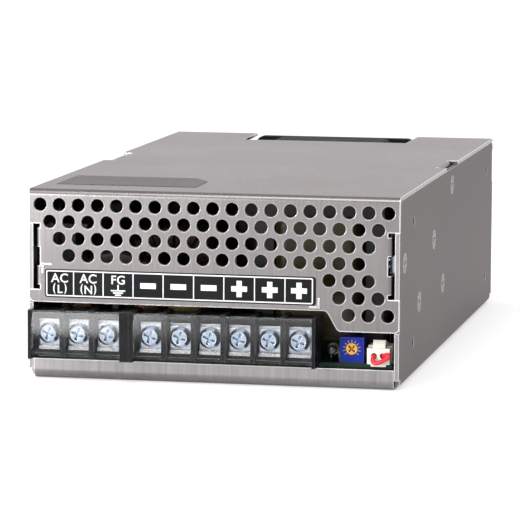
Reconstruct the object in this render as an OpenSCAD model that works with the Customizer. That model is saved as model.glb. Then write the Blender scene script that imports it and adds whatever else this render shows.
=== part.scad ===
// Enclosed switching power supply with a folded mesh cover, screw terminals and a fan.
// X runs to the right, Y to the rear and Z up; the origin is the middle of the underside.
// Places written as from_left() and from_front() are measured from the case's own corner.

/* [Case] */
// Overall width of the case
case_w = 120; // [119:1:136]
// How far the case stands above and below its fan, which fills the height
fan_edge = 0.5; // [0.4:0.05:0.8]
// Depth from the front plate to the rear wall
case_d = 215; // [212:1:236]
// Thickness of the chassis sheet
chassis_t = 1.5; // [1.2:0.1:1.6]
// Thickness of the cover sheet
cover_t = 1; // [0.8:0.1:1.2]
// Outer bend radius of the chassis sides
chassis_bend_r = 2.5; // [2:0.1:3]
// Outer bend radius of the chassis lip and rear wall
lip_bend_r = 3; // [2.4:0.1:3.6]
// Outer bend radius of the cover
cover_bend_r = 2; // [1.6:0.1:2.6]
// Height of the lip at the front of the chassis
lip_h = 6.5; // [5:0.1:6.8]
// Gap between the rear wall and the top of the case
rear_wall_gap = 3.5; // [2.5:0.25:6]
// Gap left between folded sheets
sheet_gap = 0.15; // [0.05:0.05:0.3]

/* [Cover] */
// Height of the cover's lower edge above the terminals
edge_over_terminals = 24.7; // [24.2:0.1:25.5]
// Height of the cover's lower edge above the controls
edge_over_controls = 18.3; // [17:0.1:19.4]
// Width of the controls window, from the right side of the case
controls_w = 19.6; // [19:0.1:21]
// Sideways run of the slope between the two lower edges
edge_slope = 3.6; // [2:0.1:4]
// Lower end of the notch in each side edge of the front plate
notch_low = 28.8; // [28:0.1:30]
// Distance from the top of the case to the upper end of that notch
notch_drop = 11.1; // [10:0.1:12]
// Depth of that notch from the side
notch_in = 3.75; // [3.6:0.05:3.9]
// Gap between a notch's ends and the flange in it
notch_relief = 1.45; // [1:0.05:2]
// Distance from the side of the case to the cover's inner flanges
flange_in = 2.3; // [2.2:0.05:2.5]
// Length of the flange behind each notch
flange_l = 17; // [16:0.5:19]
// Distance from the front to the middle of each top tab
tab_y = 112; // [104:1:122]
// Width of each top tab
tab_w = 22; // [18:0.5:26]
// Depth of each top tab below the top of the case
tab_l = 13; // [12:0.5:15]
// Width of the relief slit at each end of a tab
slit_w = 2.6; // [1.5:0.1:3.5]
// Distance from the side of the case to the label panel's corner marks
label_side = 4.3; // [4:0.1:4.6]
// Distance from the end of the terminals to the last corner mark
label_end = 0; // [0:0.1:1]
// Height of the label panel between its corner marks
label_h = 11.8; // [11:0.1:12]
// Height of the raised corner marks
mark_h = 0.2; // [0.1:0.05:0.3]

/* [Mesh] */
// Diameter of the mesh holes
mesh_d = 4; // [3:0.1:4.4]
// Distance between neighbouring mesh holes
mesh_pitch = 6.25; // [6:0.05:6.5]
// Distance from the side of the case to the first hole
mesh_side = 3.7; // [3.4:0.1:4.2]
// Distance from the top of the case to the first row
mesh_drop = 4.96; // [4.6:0.1:5.4]
// Least distance between the middle of a mesh hole and the label panel
mesh_over_label = 2.4; // [2.2:0.1:3]
// Rows of holes above the controls
lower_rows = 3; // [2:1:3]
// Holes in each row above the controls
lower_cols = 3; // [2:1:3]
// Width of the rolled-in rim of a hole
mesh_rim = 0.25; // [0.1:0.05:0.4]

/* [Fasteners] */
// Height of the lower side mounting holes
side_hole_z = 11.5; // [11.3:0.1:14]
// Distance from the top of the case to the upper side mounting holes
side_hole_drop = 10.5; // [10:0.1:14]
// Distance from the front to the first mounting holes
mount_y = 28; // [24:0.5:30]
// Distance from the rear to the last mounting holes
mount_rear = 16; // [12:0.5:20]
// Distance between the left and right bottom mounting holes
bottom_hole_w = 82; // [70:1:90]
// Drilled diameter of the mounting holes
mount_hole_d = 3.3; // [3.2:0.05:3.6]
// Outer diameter of the burr round a mounting hole
burr_d = 5.6; // [5:0.1:6]
// Height of that burr
burr_h = 1.5; // [1:0.1:2]
// Head diameter of the countersunk case screws
csk_head_d = 6.4; // [6:0.1:6.8]
// Shank diameter of the case screws
csk_shank_d = 2.9; // [2.5:0.1:3]
// Distance from the front to the cover's front screws
front_screw_y = 10.5; // [10:0.5:12]
// Depth of the cover's tab screws below the top of the case
tab_screw_drop = 7; // [6.5:0.25:8]
// Clearance round screw shanks
screw_gap = 0.1; // [0.05:0.05:0.2]

/* [Circuit board] */
// Height of the board's upper face
board_top = 8; // [7.6:0.1:8.4]
// Thickness of the board
board_t = 1.6; // [1.2:0.1:2]
// Distance from the front to the board
board_front = 2.5; // [2:0.1:3]
// Distance from the side of the case to the board
board_side = 2.5; // [2.3:0.1:3]
// Gap between the board and the fan
board_fan_gap = 3; // [2:0.5:5]
// Diameter of the board's standoffs
standoff_d = 6; // [5:0.1:6.5]
// Distance from the side of the case to the standoffs
standoff_side = 10; // [9:0.5:11]
// Distance from the front to the first standoffs
standoff_front = 16; // [15.5:0.5:17]
// Distance from the front to the middle standoffs
standoff_mid = 107; // [105:0.5:110]
// Distance from the rear edge of the board to the last standoffs
standoff_end = 7.5; // [6:0.5:9]
// Thickness of the insulating sheet on the chassis floor
insulation_t = 0.4; // [0.2:0.05:0.6]

/* [Terminal blocks] */
// Poles of the input block
ac_poles = 3; // [3]
// Poles of the output block
dc_poles = 6; // [6]
// Width beside the terminals for the controls, from the side of the case
controls_room = 25.4; // [25.2:0.1:26]
// Gap between the blocks and the side of the case
block_side_gap = 0.1; // [0.05:0.05:0.2]
// Gap between the two blocks
block_gap = 0.2; // [0.1:0.05:0.3]
// Thickness of the outermost end walls
end_wall = 1.1; // [1.05:0.05:1.2]
// Thickness of the input block's wall beside the output block
middle_wall = 2.9; // [2.5:0.1:3]
// Thickness of the output block's wall beside the input block
second_wall = 1.3; // [1.2:0.05:1.4]
// Thickness of the dividers between poles
divider_t = 1.5; // [1.2:0.1:1.8]
// Height of the blocks above the board
block_h = 15.1; // [14.8:0.1:15.4]
// How far the blocks stand in front of the case
block_proud = 7.5; // [7.2:0.1:8]
// How far the blocks reach behind the case's front plane
block_back = 6; // [5.6:0.1:6.5]
// Height of the contact plates above the board
plate_lift = 2.9; // [2.7:0.1:3.2]
// Gap between a contact plate and the dividers
plate_gap = 0.45; // [0.3:0.05:0.6]
// Height of a contact plate
plate_h = 8.6; // [8:0.1:8.8]
// Thickness of a contact plate
plate_t = 1; // [0.8:0.1:1.2]
// Gap between a terminal screw's head and the dividers
head_gap = 0.65; // [0.4:0.05:1]
// Head height of the terminal screws
terminal_head_h = 2.2; // [1.8:0.1:2.4]
// Shank diameter of the terminal screws
terminal_shank_d = 3.9; // [3.5:0.1:4]
// Gap between a square washer and the dividers
washer_gap = 0.75; // [0.5:0.05:1]
// Thickness of the square washers
washer_t = 0.8; // [0.6:0.1:1]
// Wall of the clear terminal covers
clear_t = 0.8; // [0.6:0.05:0.9]
// Diameter of the clear covers' hinge pins
hinge_pin_d = 1; // [0.8:0.05:1.1]
// Running clearance round the hinge pins
hinge_gap = 0.05; // [0.03:0.01:0.08]

/* [Controls] */
// Distance from the right of the case to the middle of the trimmer
trimmer_right = 15.7; // [15.5:0.1:16]
// Width of the trimmer's body
trimmer_w = 7.7; // [7:0.1:7.8]
// Height of the trimmer's body
trimmer_h = 8; // [7.6:0.1:8.4]
// Diameter of the trimmer's rotor
rotor_d = 3.7; // [3.4:0.1:4]
// Distance from the front to the face of the trimmer
trimmer_y = 4; // [3:0.1:5]
// Distance from the right of the case to the middle of the socket
socket_right = 6.7; // [6.5:0.1:6.8]
// Width of the socket
socket_w = 7.6; // [7.4:0.1:7.8]
// Height of the socket
socket_h = 5.6; // [5.4:0.1:6]
// Distance from the right of the case to the indicator lamp
lamp_right = 21.8; // [21.6:0.1:22.2]
// Diameter of the indicator lamp
lamp_d = 3; // [2.6:0.1:3.2]
// Diameter of the jumper wire
wire_d = 1.7; // [1.5:0.1:1.8]

/* [Fan] */
// Side of the square fan, which sets the height of the case
fan_w = 60; // [60:1:64]
// Depth of the fan
fan_t = 25; // [20:0.5:26]
// Distance from the left of the case to the middle of the fan
fan_x = 61.2; // [60:0.1:62]
// Distance from the fan's edge to the middle of its fixing holes
fan_hole_in = 5; // [4.5:0.1:5.5]
// Thinnest wall round the fan's air passage
fan_rim = 1.25; // [1:0.05:2]
// Diameter of the fan's hub
hub_d = 28; // [24:0.5:30]
// Number of blades
blades = 7; // [5:1:9]
// Gap between blade tips and the air passage
tip_gap = 0.6; // [0.4:0.1:1]
// Diameter of the fan's shaft
shaft_d = 3; // [2.5:0.1:4]
// Running clearance round the shaft
shaft_gap = 0.05; // [0.03:0.01:0.08]
// Clearance of the case's fan cut-outs on each side
fan_cut_gap = 0.45; // [0.3:0.05:0.6]

/* [Heat sinks] */
// Thickness of the heat sinks
sink_t = 4; // [3:0.1:4.5]
// Gap between the heat sinks and the cover
sink_gap = 14; // [13.5:0.5:16]
// Distance from the front to the heat sinks
sink_front = 34; // [33.5:0.5:36]
// Length of the heat sinks
sink_l = 68; // [64:1:69]
// Thickness of the thermal pads
pad_t = 1; // [0.8:0.1:1.2]

/* [Hidden] */
$fn = 48;
e = 0.01;                       // overshoot of cutting shapes
case_h = fan_w + 2 * fan_edge;
right = case_w / 2;
left = -right;
rear = case_d / 2;
front = -rear;
wall_top = case_h - cover_t - sheet_gap;
board_low = board_top - board_t;
fan_front = rear - chassis_t - fan_t;
fan_mid_z = case_h / 2;
board_rear = fan_front - board_fan_gap;
inner = right - chassis_t;      // inner face of a side wall
room_h = case_h - cover_t - board_top;      // height over the board
notch_high = case_h - notch_drop;

function from_left(x) = left + x;
function from_right(x) = right - x;
function from_front(y) = front + y;

// ---------- shared shapes ----------

// A block between two opposite corners
module block(a, b) translate(a) cube(b - a);

// Round bars along each axis
module rod_x(y, z, x0, x1, d) translate([x0, y, z]) rotate([0, 90, 0]) cylinder(d = d, h = x1 - x0);
module rod_y(x, z, y0, y1, d) translate([x, y0, z]) rotate([-90, 0, 0]) cylinder(d = d, h = y1 - y0);
module rod_z(x, y, z0, z1, d) translate([x, y, z0]) cylinder(d = d, h = z1 - z0);

// A YZ outline drawn out along X, and an XZ outline drawn out along Y
module along_x(x0, x1) translate([x0, 0, 0]) rotate([90, 0, 90]) linear_extrude(x1 - x0) children();
module along_y(y0, y1) translate([0, y1, 0]) rotate([90, 0, 0]) linear_extrude(y1 - y0) children();

// The children, and their mirror image across X = 0
module both_sides() {
    children();
    mirror([1, 0, 0]) children();
}

// A rectangle with its corner at the origin rounded off
module corner_2d(w, h, r) {
    intersection() {
        translate([r, r]) circle(r);
        square(r);
    }
    translate([r, 0]) square([w - r, h]);
    translate([0, r]) square([w, h - r]);
}

// A folded strip: one leg along +X, one along +Y, with the fold at the origin
module fold_2d(w, h, t, r) difference() {
    corner_2d(w, h, r);
    translate([t, t]) corner_2d(w, h, r - t);
}

// What a rounded corner of radius r takes away from a square one
module corner_waste_2d(r) difference() {
    translate([-1, -1]) square(r + 1);
    translate([r, r]) circle(r);
}

// A rectangle between two corners with all its corners rounded
module round_rect_2d(a, b, r) {
    translate([a.x + r, a.y]) square([b.x - a.x - 2 * r, b.y - a.y]);
    translate([a.x, a.y + r]) square([b.x - a.x, b.y - a.y - 2 * r]);
    for (x = [a.x + r, b.x - r], y = [a.y + r, b.y - r]) translate([x, y]) circle(r);
}

// A countersunk screw driven along +Z, with its head flush at the origin
module csk_screw(head_d, shank_d, l) difference() {
    union() {
        cylinder(d1 = head_d, d2 = shank_d, h = (head_d - shank_d) / 2);
        cylinder(d = shank_d, h = l);
    }
    cross_recess(head_d * 0.6, 0.8, 0.9);
}

// The hole such a screw sits in
module csk_hole(head_d, shank_d, depth, gap) {
    translate([0, 0, -e]) cylinder(d1 = head_d + 2 * gap + 2 * e, d2 = shank_d + 2 * gap,
        h = (head_d - shank_d) / 2 + e);
    translate([0, 0, -e]) cylinder(d = shank_d + 2 * gap, h = depth + 2 * e);
}

// A pan-head screw driven along +Z, its head below the origin
module pan_screw(head_d, head_h, shank_d, l) difference() {
    union() {
        translate([0, 0, -head_h / 2]) cylinder(d = head_d, h = head_h / 2);
        translate([0, 0, -head_h]) cylinder(d1 = head_d * 0.72, d2 = head_d, h = head_h / 2);
        cylinder(d = shank_d, h = l);
    }
    translate([0, 0, -head_h]) cross_recess(head_d * 0.62, head_d * 0.14, head_h * 0.6);
}

// A cross recess cut along +Z from the origin
module cross_recess(w, slot, depth)
    for (a = [0, 90]) rotate([0, 0, a + 20]) translate([-w / 2, -slot / 2, -e])
        cube([w, slot, depth + e]);

// ---------- routes of the wires ----------

function mix_point(a, b, c, d, t) = 0.5 * (2 * b + (c - a) * t + (2 * a - 5 * b + 4 * c - d) * t * t
    + (3 * b - a - 3 * c + d) * t * t * t);
// A smooth curve through the points, with n short steps between each pair
function smooth(p, n) = concat(
    [for (i = [0:len(p) - 2], k = [0:n - 1])
        mix_point(p[max(i - 1, 0)], p[i], p[i + 1], p[min(i + 2, len(p) - 1)], k / n)],
    [p[len(p) - 1]]);
function unit(v) = v / norm(v);
function heading(p, i) = unit(p[min(i + 1, len(p) - 1)] - p[max(i - 1, 0)]);

// A tube of diameter d along the points; up is a direction the route never takes
module tube_along(p, d, up, sides = 8) {
    rings = [for (i = [0:len(p) - 1])
        let (t = heading(p, i), u = unit(cross(t, up)), v = cross(t, u))
        for (k = [0:sides - 1]) p[i] + d / 2 * (u * cos(360 * k / sides) + v * sin(360 * k / sides))];
    last = (len(p) - 1) * sides;
    polyhedron(rings, concat(
        [[for (k = [0:sides - 1]) k]],
        [for (i = [0:len(p) - 2], k = [0:sides - 1])
            let (a = i * sides + k, b = i * sides + (k + 1) % sides)
            [a, a + sides, b + sides, b]],
        [[for (k = [sides - 1:-1:0]) last + k]]), convexity = 8);
}

// ---------- places shared by several pieces ----------

mount_zs = [side_hole_z, case_h - side_hole_drop];
mount_ys = [from_front(mount_y), rear - mount_rear];
front_screw = [from_front(front_screw_y), (notch_low + notch_high) / 2];
tab_screw = [from_front(tab_y), case_h - tab_screw_drop];
sink_screws = [for (s = [[7, 15], [37.5, 31.8], [58.5, 14.5]])
    [from_front(sink_front + s.x), board_top + s.y]];
case_screws = concat([front_screw, tab_screw], sink_screws);
standoffs_at = [for (x = [-1, 1] * (right - standoff_side),
    y = [from_front(standoff_front), from_front(standoff_mid), board_rear - standoff_end]) [x, y]];
fan_cx = from_left(fan_x);
fan_hole = fan_w / 2 - fan_hole_in;
fan_bore_d = fan_w - 2 * fan_rim;
fan_screws_at = [for (x = [-1, 1] * fan_hole, z = [-1, 1] * fan_hole) [fan_cx + x, fan_mid_z + z]];
fan_cut = fan_w / 2 + fan_cut_gap;
flange_r = notch_in - flange_in;
clip_window_h = 6.1;
clip_window_l = 6;
clip_t = 0.6;
clip_w = 5.6;
clip_gap = 0.1;
clip_hold = 3.8;                // how far a clip nut reaches past its screw

// ---------- case ----------

// Side screws and holes face along X: the children are turned so that +Z points into the case
module from_side(y, z) translate([left, y, z]) rotate([0, 90, 0]) children();

// Ring slots punched in front of the fan, broken by four spokes
module fan_grille_2d(slot = 3.2, web = 1.8, spoke = 3) difference() {
    for (r = [hub_d / 2 - 6 : slot + web : fan_bore_d / 2 - slot]) difference() {
        circle(r + slot);
        circle(r);
    }
    for (a = [45, 135]) rotate(a) square([fan_bore_d, spoke], center = true);
}

// Floor, sides, front lip and rear wall folded from one sheet
module chassis() color("darkgray") difference() {
    union() {
        along_y(front + lip_bend_r, rear - lip_bend_r) for (side = [0, 1]) mirror([side, 0])
            translate([left, 0]) fold_2d(right + 1, wall_top, chassis_t, chassis_bend_r);
        both_sides() block([left, front, lip_bend_r + sheet_gap], [-inner, rear, wall_top]);
        along_x(sheet_gap - inner, inner - sheet_gap) {
            translate([front, 0]) fold_2d(lip_bend_r + 1, lip_h, chassis_t, lip_bend_r);
            translate([rear, 0]) mirror([1, 0])
                fold_2d(lip_bend_r + 1, case_h - rear_wall_gap, chassis_t, lip_bend_r);
        }
        both_sides() for (y = mount_ys, z = mount_zs) rod_x(y, z, left + e, burr_h - inner, burr_d);
        for (x = [-1, 1], y = mount_ys) rod_z(x * bottom_hole_w / 2, y, e, chassis_t + burr_h, burr_d);
    }
    side_edges();
    both_sides() {
        for (y = mount_ys, z = mount_zs) rod_x(y, z, left - 1, burr_h - inner + 1, mount_hole_d);
        for (s = case_screws) from_side(s.x, s.y) csk_hole(csk_head_d, csk_shank_d, chassis_t, screw_gap);
    }
    for (x = [-1, 1], y = mount_ys)
        rod_z(x * bottom_hole_w / 2, y, -1, chassis_t + burr_h + 1, mount_hole_d);
    for (p = standoffs_at) rod_z(p.x, p.y, -1, chassis_t + 1, standoff_shank_d + 2 * press_gap);
    block([fan_cx - fan_cut, fan_front - fan_cut_gap, -1],
        [fan_cx + fan_cut, rear - chassis_t, lip_bend_r + fan_edge]);
    along_y(rear - chassis_t - 1, rear + 1) translate([fan_cx, fan_mid_z]) fan_grille_2d();
    for (s = fan_screws_at) translate([s.x, rear, s.y]) rotate([90, 0, 0])
        csk_hole(fan_screw_head_d, fan_screw_shank_d, chassis_t, screw_gap);
}

// What is trimmed from the edges of the chassis sides: room for the cover's front plate
// and for its fold, a round at the top rear corner and a finger slot in the rear edge
module side_edges(corner_r = 3, slot_drop = 16, slot_h = 12, slot_in = 1.2) {
    plate_room = front + cover_t + sheet_gap;
    both_sides() block([left - 1, front - 1, notch_high], [1 - inner, plate_room, case_h]);
    block([left - 1, front - 1, edge_over_terminals - sheet_gap], [1 - inner, plate_room, notch_low]);
    block([inner - 1, front - 1, edge_over_controls - sheet_gap], [right + 1, plate_room, notch_low]);
    along_x(left - 1, right + 1) {
        translate([plate_room, wall_top]) mirror([0, 1]) corner_waste_2d(cover_bend_r + sheet_gap);
        translate([rear, wall_top]) rotate(180) corner_waste_2d(corner_r);
    }
    slot_low = case_h - slot_drop;
    both_sides() block([left - 1, rear - slot_in, slot_low], [1 - inner, rear + 1, slot_low + slot_h]);
}

// The lower edge of the cover's front plate, seen from the front, as the area below it
module below_front_plate_2d() {
    low_x = from_right(controls_w);
    high_x = low_x - edge_slope;
    a = [left - 1, edge_over_terminals];
    b = [high_x, edge_over_terminals];
    c = [low_x, edge_over_controls];
    d = [right + 1, edge_over_controls];
    polygon(concat([[left - 1, 0], a], fillet(a, b, c, 1.5), fillet(b, c, d, 1.8), [d, [right + 1, 0]]));
    translate([left, edge_over_terminals]) corner_waste_2d(2);
    translate([right, edge_over_controls]) mirror([1, 0]) corner_waste_2d(1.5);
}

// The corner b between a and c, rounded off with radius r
function fillet(a, b, c, r, n = 5) =
    let (u = unit(a - b), v = unit(c - b), half = acos(u * v) / 2,
        m = b + unit(u + v) * r / sin(half), p = b + u * r / tan(half), q = b + v * r / tan(half))
    [for (i = [0:n]) m + r * unit((p - m) * (n - i) + (q - m) * i)];

// Staggered rows down to the label, each one hole shorter than the row above, then short
// ones above the controls
label_lift = 0.7;               // from the lower edge of the front plate to the label panel
module mesh_holes() {
    cols = floor((case_w - 2 * mesh_side) / mesh_pitch + e) + 1;
    label_top = edge_over_terminals + label_lift + label_h;
    upper_rows = floor((case_h - mesh_drop - label_top - mesh_over_label) / (mesh_pitch * sin(60))) + 1;
    for (row = [0:upper_rows - 1], i = [0:cols - 1 - row]) mesh_hole(i + row / 2, row, cols);
    for (row = [0:lower_rows - 1], i = [0:lower_cols - 1])
        mesh_hole(cols - 1 - lower_cols + row / 2 + i, upper_rows + row, cols);
}

module mesh_hole(k, row, cols)
    translate([(k - (cols - 1) / 2) * mesh_pitch, front, case_h - mesh_drop - row * mesh_pitch * sin(60)])
        rotate([-90, 0, 0]) {
            translate([0, 0, -1]) cylinder(d = mesh_d, h = cover_t + 2);
            translate([0, 0, -e])
                cylinder(d1 = mesh_d + 2 * mesh_rim + 2 * e, d2 = mesh_d, h = mesh_rim + e);
        }

// An L-shaped raised mark at a corner of the label panel
module corner_mark(arm = 3.3, line = 0.6) along_y(front - mark_h, front + cover_t / 2) {
    square([arm, line]);
    square([line, arm]);
}

// Top plate and mesh front plate in one fold, with flanges and tabs that go inside the sides
module cover() color("gainsboro") {
    label_low = edge_over_terminals + label_lift;
    label_x = [left + label_side, dc_x1 - label_end];
    difference() {
        union() {
            difference() {
                along_x(left, right) translate([front, case_h]) mirror([0, 1])
                    fold_2d(case_d, case_h - edge_over_controls, cover_t, cover_bend_r);
                both_sides() {
                    block([left - 1, front - 1, notch_low],
                        [left + notch_in, front + cover_bend_r, notch_high]);
                    block([left - 1, from_front(tab_y) - tab_w / 2 - slit_w, case_h - cover_t - 1],
                        [left + notch_in, from_front(tab_y) + tab_w / 2 + slit_w, case_h + 1]);
                }
                mesh_holes();
            }
            both_sides() {
                translate([left + flange_in, front, notch_low + notch_relief])
                    linear_extrude(notch_high - notch_low - 2 * notch_relief)
                        fold_2d(flange_r + 0.5, flange_l, cover_t, flange_r);
                along_y(from_front(tab_y) - tab_w / 2, from_front(tab_y) + tab_w / 2)
                    translate([left + flange_in, case_h]) mirror([0, 1])
                        fold_2d(flange_r + 0.5, tab_l, cover_t, flange_r);
            }
            translate([label_x[0], 0, label_low + label_h]) mirror([0, 0, 1]) corner_mark();
            translate([label_x[1], 0, label_low]) mirror([1, 0, 0]) corner_mark();
        }
        along_y(front - 1, front + cover_bend_r + 0.5) below_front_plate_2d();
        both_sides() {
            block([left, front - 1, front_screw.y - clip_window_h / 2],
                [left + notch_in, front + clip_window_l, front_screw.y + clip_window_h / 2]);
            for (s = [front_screw, tab_screw])
                rod_x(s.x, s.y, left, left + notch_in + 1, csk_shank_d + 4 * screw_gap);
        }
        block([fan_cx - fan_cut, fan_front - fan_cut_gap, wall_top],
            [fan_cx + fan_cut, rear + 1, case_h + 1]);
    }
}

// A spring clip with a collar, slid over the edge of a flange; the screw's axis is X and
// the flange's edge lies reach away in -Y
module clip_nut(reach) difference() {
    union() {
        translate([0, 0, -clip_w / 2]) linear_extrude(clip_w) difference() {
            round_rect_2d([-clip_t - clip_gap, -reach - clip_t - clip_gap],
                [cover_t + clip_gap + clip_t, clip_hold], clip_t);
            translate([-clip_gap, -reach - clip_gap])
                square([cover_t + 2 * clip_gap, reach + clip_hold + 1]);
        }
        rod_x(0, 0, cover_t + clip_gap + e, cover_t + clip_gap + clip_t + 1.6, csk_shank_d + 1.8);
    }
    rod_x(0, 0, -2, cover_t + 4, csk_shank_d + 4 * screw_gap);
}

module clip_nuts() color("silver") both_sides() {
    translate([left + flange_in, front_screw.x, front_screw.y]) clip_nut(front_screw_y - clip_window_l);
    translate([left + flange_in, tab_screw.x, tab_screw.y]) rotate([90, 0, 0])
        clip_nut(tab_l - tab_screw_drop);
}

module cover_screws() color("silver") both_sides() for (s = [front_screw, tab_screw])
    from_side(s.x, s.y) csk_screw(csk_head_d, csk_shank_d, flange_in + cover_t + 3);

module heatsink_screws() color("silver") both_sides() for (s = sink_screws)
    from_side(s.x, s.y) csk_screw(csk_head_d, csk_shank_d, chassis_t + pad_t + sink_t - 0.3);

// ---------- circuit board and what holds it ----------

standoff_shank_d = 4;
press_gap = 0.02;
board_screw_d = 2.4;
board_screw_head_d = 5.5;

module standoffs() color("silver") for (p = standoffs_at) difference() {
    union() {
        rod_z(p.x, p.y, chassis_t, board_low, standoff_d);
        rod_z(p.x, p.y, sheet_gap, chassis_t + e, standoff_shank_d);
    }
    rod_z(p.x, p.y, chassis_t, board_low + 1, board_screw_d + screw_gap);
}

module board_screws() color("silver") for (p = standoffs_at)
    translate([p.x, p.y, board_top]) rotate([180, 0, 0])
        pan_screw(board_screw_head_d, 2, board_screw_d, board_t + 3.5);

// A plastic film on the floor, cut out round the standoffs and burrs
module insulation_sheet(hole_gap = 0.5) color("white") difference() {
    block([1.5 - inner, from_front(board_front + 2), chassis_t],
        [inner - 1.5, board_rear - 1, chassis_t + insulation_t]);
    for (p = standoffs_at) rod_z(p.x, p.y, 0, board_low, standoff_d + 2 * hole_gap);
    for (x = [-1, 1], y = mount_ys) rod_z(x * bottom_hole_w / 2, y, 0, board_low, burr_d + 2 * hole_gap);
}

module main_board() color("darkgreen") difference() {
    block([left + board_side, from_front(board_front), board_low],
        [right - board_side, board_rear, board_top]);
    for (p = standoffs_at) rod_z(p.x, p.y, board_low - 1, board_top + 1, board_screw_d + 6 * screw_gap);
    for (x = pole_xs) plate_leg(x, 0.15);
    for (x = [-1, 1]) socket_leg(x, 0.15);
}

// ---------- terminal blocks ----------

block_top = board_top + block_h;
block_front = front - block_proud;
block_end = from_front(block_back);
divider_y = block_front + 1.9;          // front edges of the dividers
block_walls = 2 * end_wall + middle_wall + block_gap + second_wall;
pole_pitch = (right - controls_room + inner - block_side_gap - block_walls) / (ac_poles + dc_poles);
plate_w = pole_pitch - divider_t - 2 * plate_gap;
washer_w = pole_pitch - divider_t - 2 * washer_gap;
terminal_head_d = pole_pitch - divider_t - 2 * head_gap;
ac_x0 = block_side_gap - inner;
ac_x1 = ac_x0 + end_wall + ac_poles * pole_pitch + middle_wall;
dc_x0 = ac_x1 + block_gap;
dc_x1 = dc_x0 + second_wall + dc_poles * pole_pitch + end_wall;
pole_xs = concat([for (i = [0:ac_poles - 1]) ac_x0 + end_wall + (i + 0.5) * pole_pitch],
    [for (i = [0:dc_poles - 1]) dc_x0 + second_wall + (i + 0.5) * pole_pitch]);
plate_z = board_top + plate_lift;
screw_z = plate_z + plate_h / 2;
leg_y = from_front(block_back) - 2;     // front face of a contact plate's leg
leg_w = 3;
clear_gap = 0.15;                       // gap at each end of a clear cover
clear_y = block_front + 0.5;            // outer face of the clear covers
clear_low = board_top + 0.3;
clear_high = block_top - 0.3;
clear_deep = 2.1;                       // how far back the clear covers' edges are folded
pivot = [clear_y + clear_t / 2, clear_high - 0.6];
pin_in_wall = 0.75;
pin_end_gap = 0.1;

// A bent contact plate: upright face, ledge under the screw, and a leg through the board
module contact_plate(x) {
    difference() {
        block([x - plate_w / 2, front - plate_t, plate_z], [x + plate_w / 2, front, plate_z + plate_h]);
        rod_y(x, screw_z, front - 5, front + 5, terminal_shank_d + 2 * screw_gap);
    }
    block([x - plate_w / 2, front - 2.2 * plate_t, plate_z - plate_t],
        [x + plate_w / 2, leg_y + plate_t, plate_z + e]);
    plate_leg(x, 0);
}

module plate_leg(x, gap) block([x - leg_w / 2 - gap, leg_y - gap, board_low - 1.2],
    [x + leg_w / 2 + gap, leg_y + plate_t + gap, plate_z - plate_t + e]);

// A moulded block: end walls, dividers between the poles, a roof and a foot on the board
module terminal_body(x0, poles, wall_a, wall_b) {
    x1 = x0 + wall_a + poles * pole_pitch + wall_b;
    first = x0 + wall_a;
    wall_low = (board_top + lip_h) / 2;
    difference() {
        union() {
            block([x0, front, board_top], [x1, block_end, block_top - 0.7]);
            block([x0, front - 3, block_top - 1.7], [x1, front + e, block_top - 0.7]);
            block([x0, front - 2, board_top], [x1, front + e, board_top + plate_lift - plate_t - 0.2]);
            for (w = [[x0, first], [x1 - wall_b, x1]]) {
                block([w[0], block_front, board_top], [w[1], block_end, block_top]);
                block([w[0], block_front, wall_low], [w[1], front, board_top + e]);
            }
            for (i = [1:poles - 1]) block([first + i * pole_pitch - divider_t / 2, divider_y, board_top],
                [first + i * pole_pitch + divider_t / 2, block_end, block_top]);
        }
        for (i = [0:poles - 1]) contact_room(first + (i + 0.5) * pole_pitch);
        rod_x(pivot.x, pivot.y, first - pin_in_wall - pin_end_gap, first + e,
            hinge_pin_d + 2 * hinge_gap);
        rod_x(pivot.x, pivot.y, x1 - wall_b - e, x1 - wall_b + pin_in_wall + pin_end_gap,
            hinge_pin_d + 2 * hinge_gap);
    }
}

// Room in a block for one contact plate and the end of its screw
module contact_room(x, gap = 0.1) {
    block([x - plate_w / 2 - gap, front - 3, plate_z - plate_t - gap],
        [x + plate_w / 2 + gap, leg_y + plate_t + gap, plate_z + gap]);
    block([x - leg_w / 2 - gap, leg_y - gap, board_top - 1],
        [x + leg_w / 2 + gap, leg_y + plate_t + gap, plate_z]);
    rod_y(x, screw_z, front - e, front + 4.8, terminal_shank_d + 4 * screw_gap);
}

module ac_terminal_body() color("#1c1c20") terminal_body(ac_x0, ac_poles, end_wall, middle_wall);
module dc_terminal_body() color("#1c1c20") terminal_body(dc_x0, dc_poles, second_wall, end_wall);

// A clear lid with folded edges, notched round the dividers, on two hinge pins
module clear_cover(first, poles) {
    last = first + poles * pole_pitch;
    difference() {
        along_x(first + clear_gap, last - clear_gap) difference() {
            round_rect_2d([clear_y, clear_low], [clear_y + clear_deep + 1, clear_high], 0.4);
            translate([clear_y + clear_t, clear_low + clear_t])
                square([clear_deep + 1, clear_high - clear_low - 2 * clear_t]);
            translate([clear_y + clear_deep, 0]) square([2, case_h]);
        }
        for (i = [1:poles - 1])
            block([first + i * pole_pitch - divider_t / 2 - 0.3, clear_y + clear_t, 0],
            [first + i * pole_pitch + divider_t / 2 + 0.3, clear_y + clear_deep + 1, case_h]);
    }
    for (p = [[first - pin_in_wall, first + clear_gap + 0.5],
        [last - clear_gap - 0.5, last + pin_in_wall]])
        rod_x(pivot.x, pivot.y, p[0], p[1], hinge_pin_d);
}

module ac_terminal_cover() color([0.8, 0.85, 0.9, 0.4]) clear_cover(ac_x0 + end_wall, ac_poles);
module dc_terminal_cover() color([0.8, 0.85, 0.9, 0.4]) clear_cover(dc_x0 + second_wall, dc_poles);

module contact_plates() color("lightgray") for (x = pole_xs) contact_plate(x);

module square_washers() color("silver") for (x = pole_xs) difference() {
    block([x - washer_w / 2, front - plate_t - washer_t, screw_z - washer_w / 2],
        [x + washer_w / 2, front - plate_t, screw_z + washer_w / 2]);
    rod_y(x, screw_z, front - 5, front + 1, terminal_shank_d + 2 * screw_gap);
}

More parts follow.
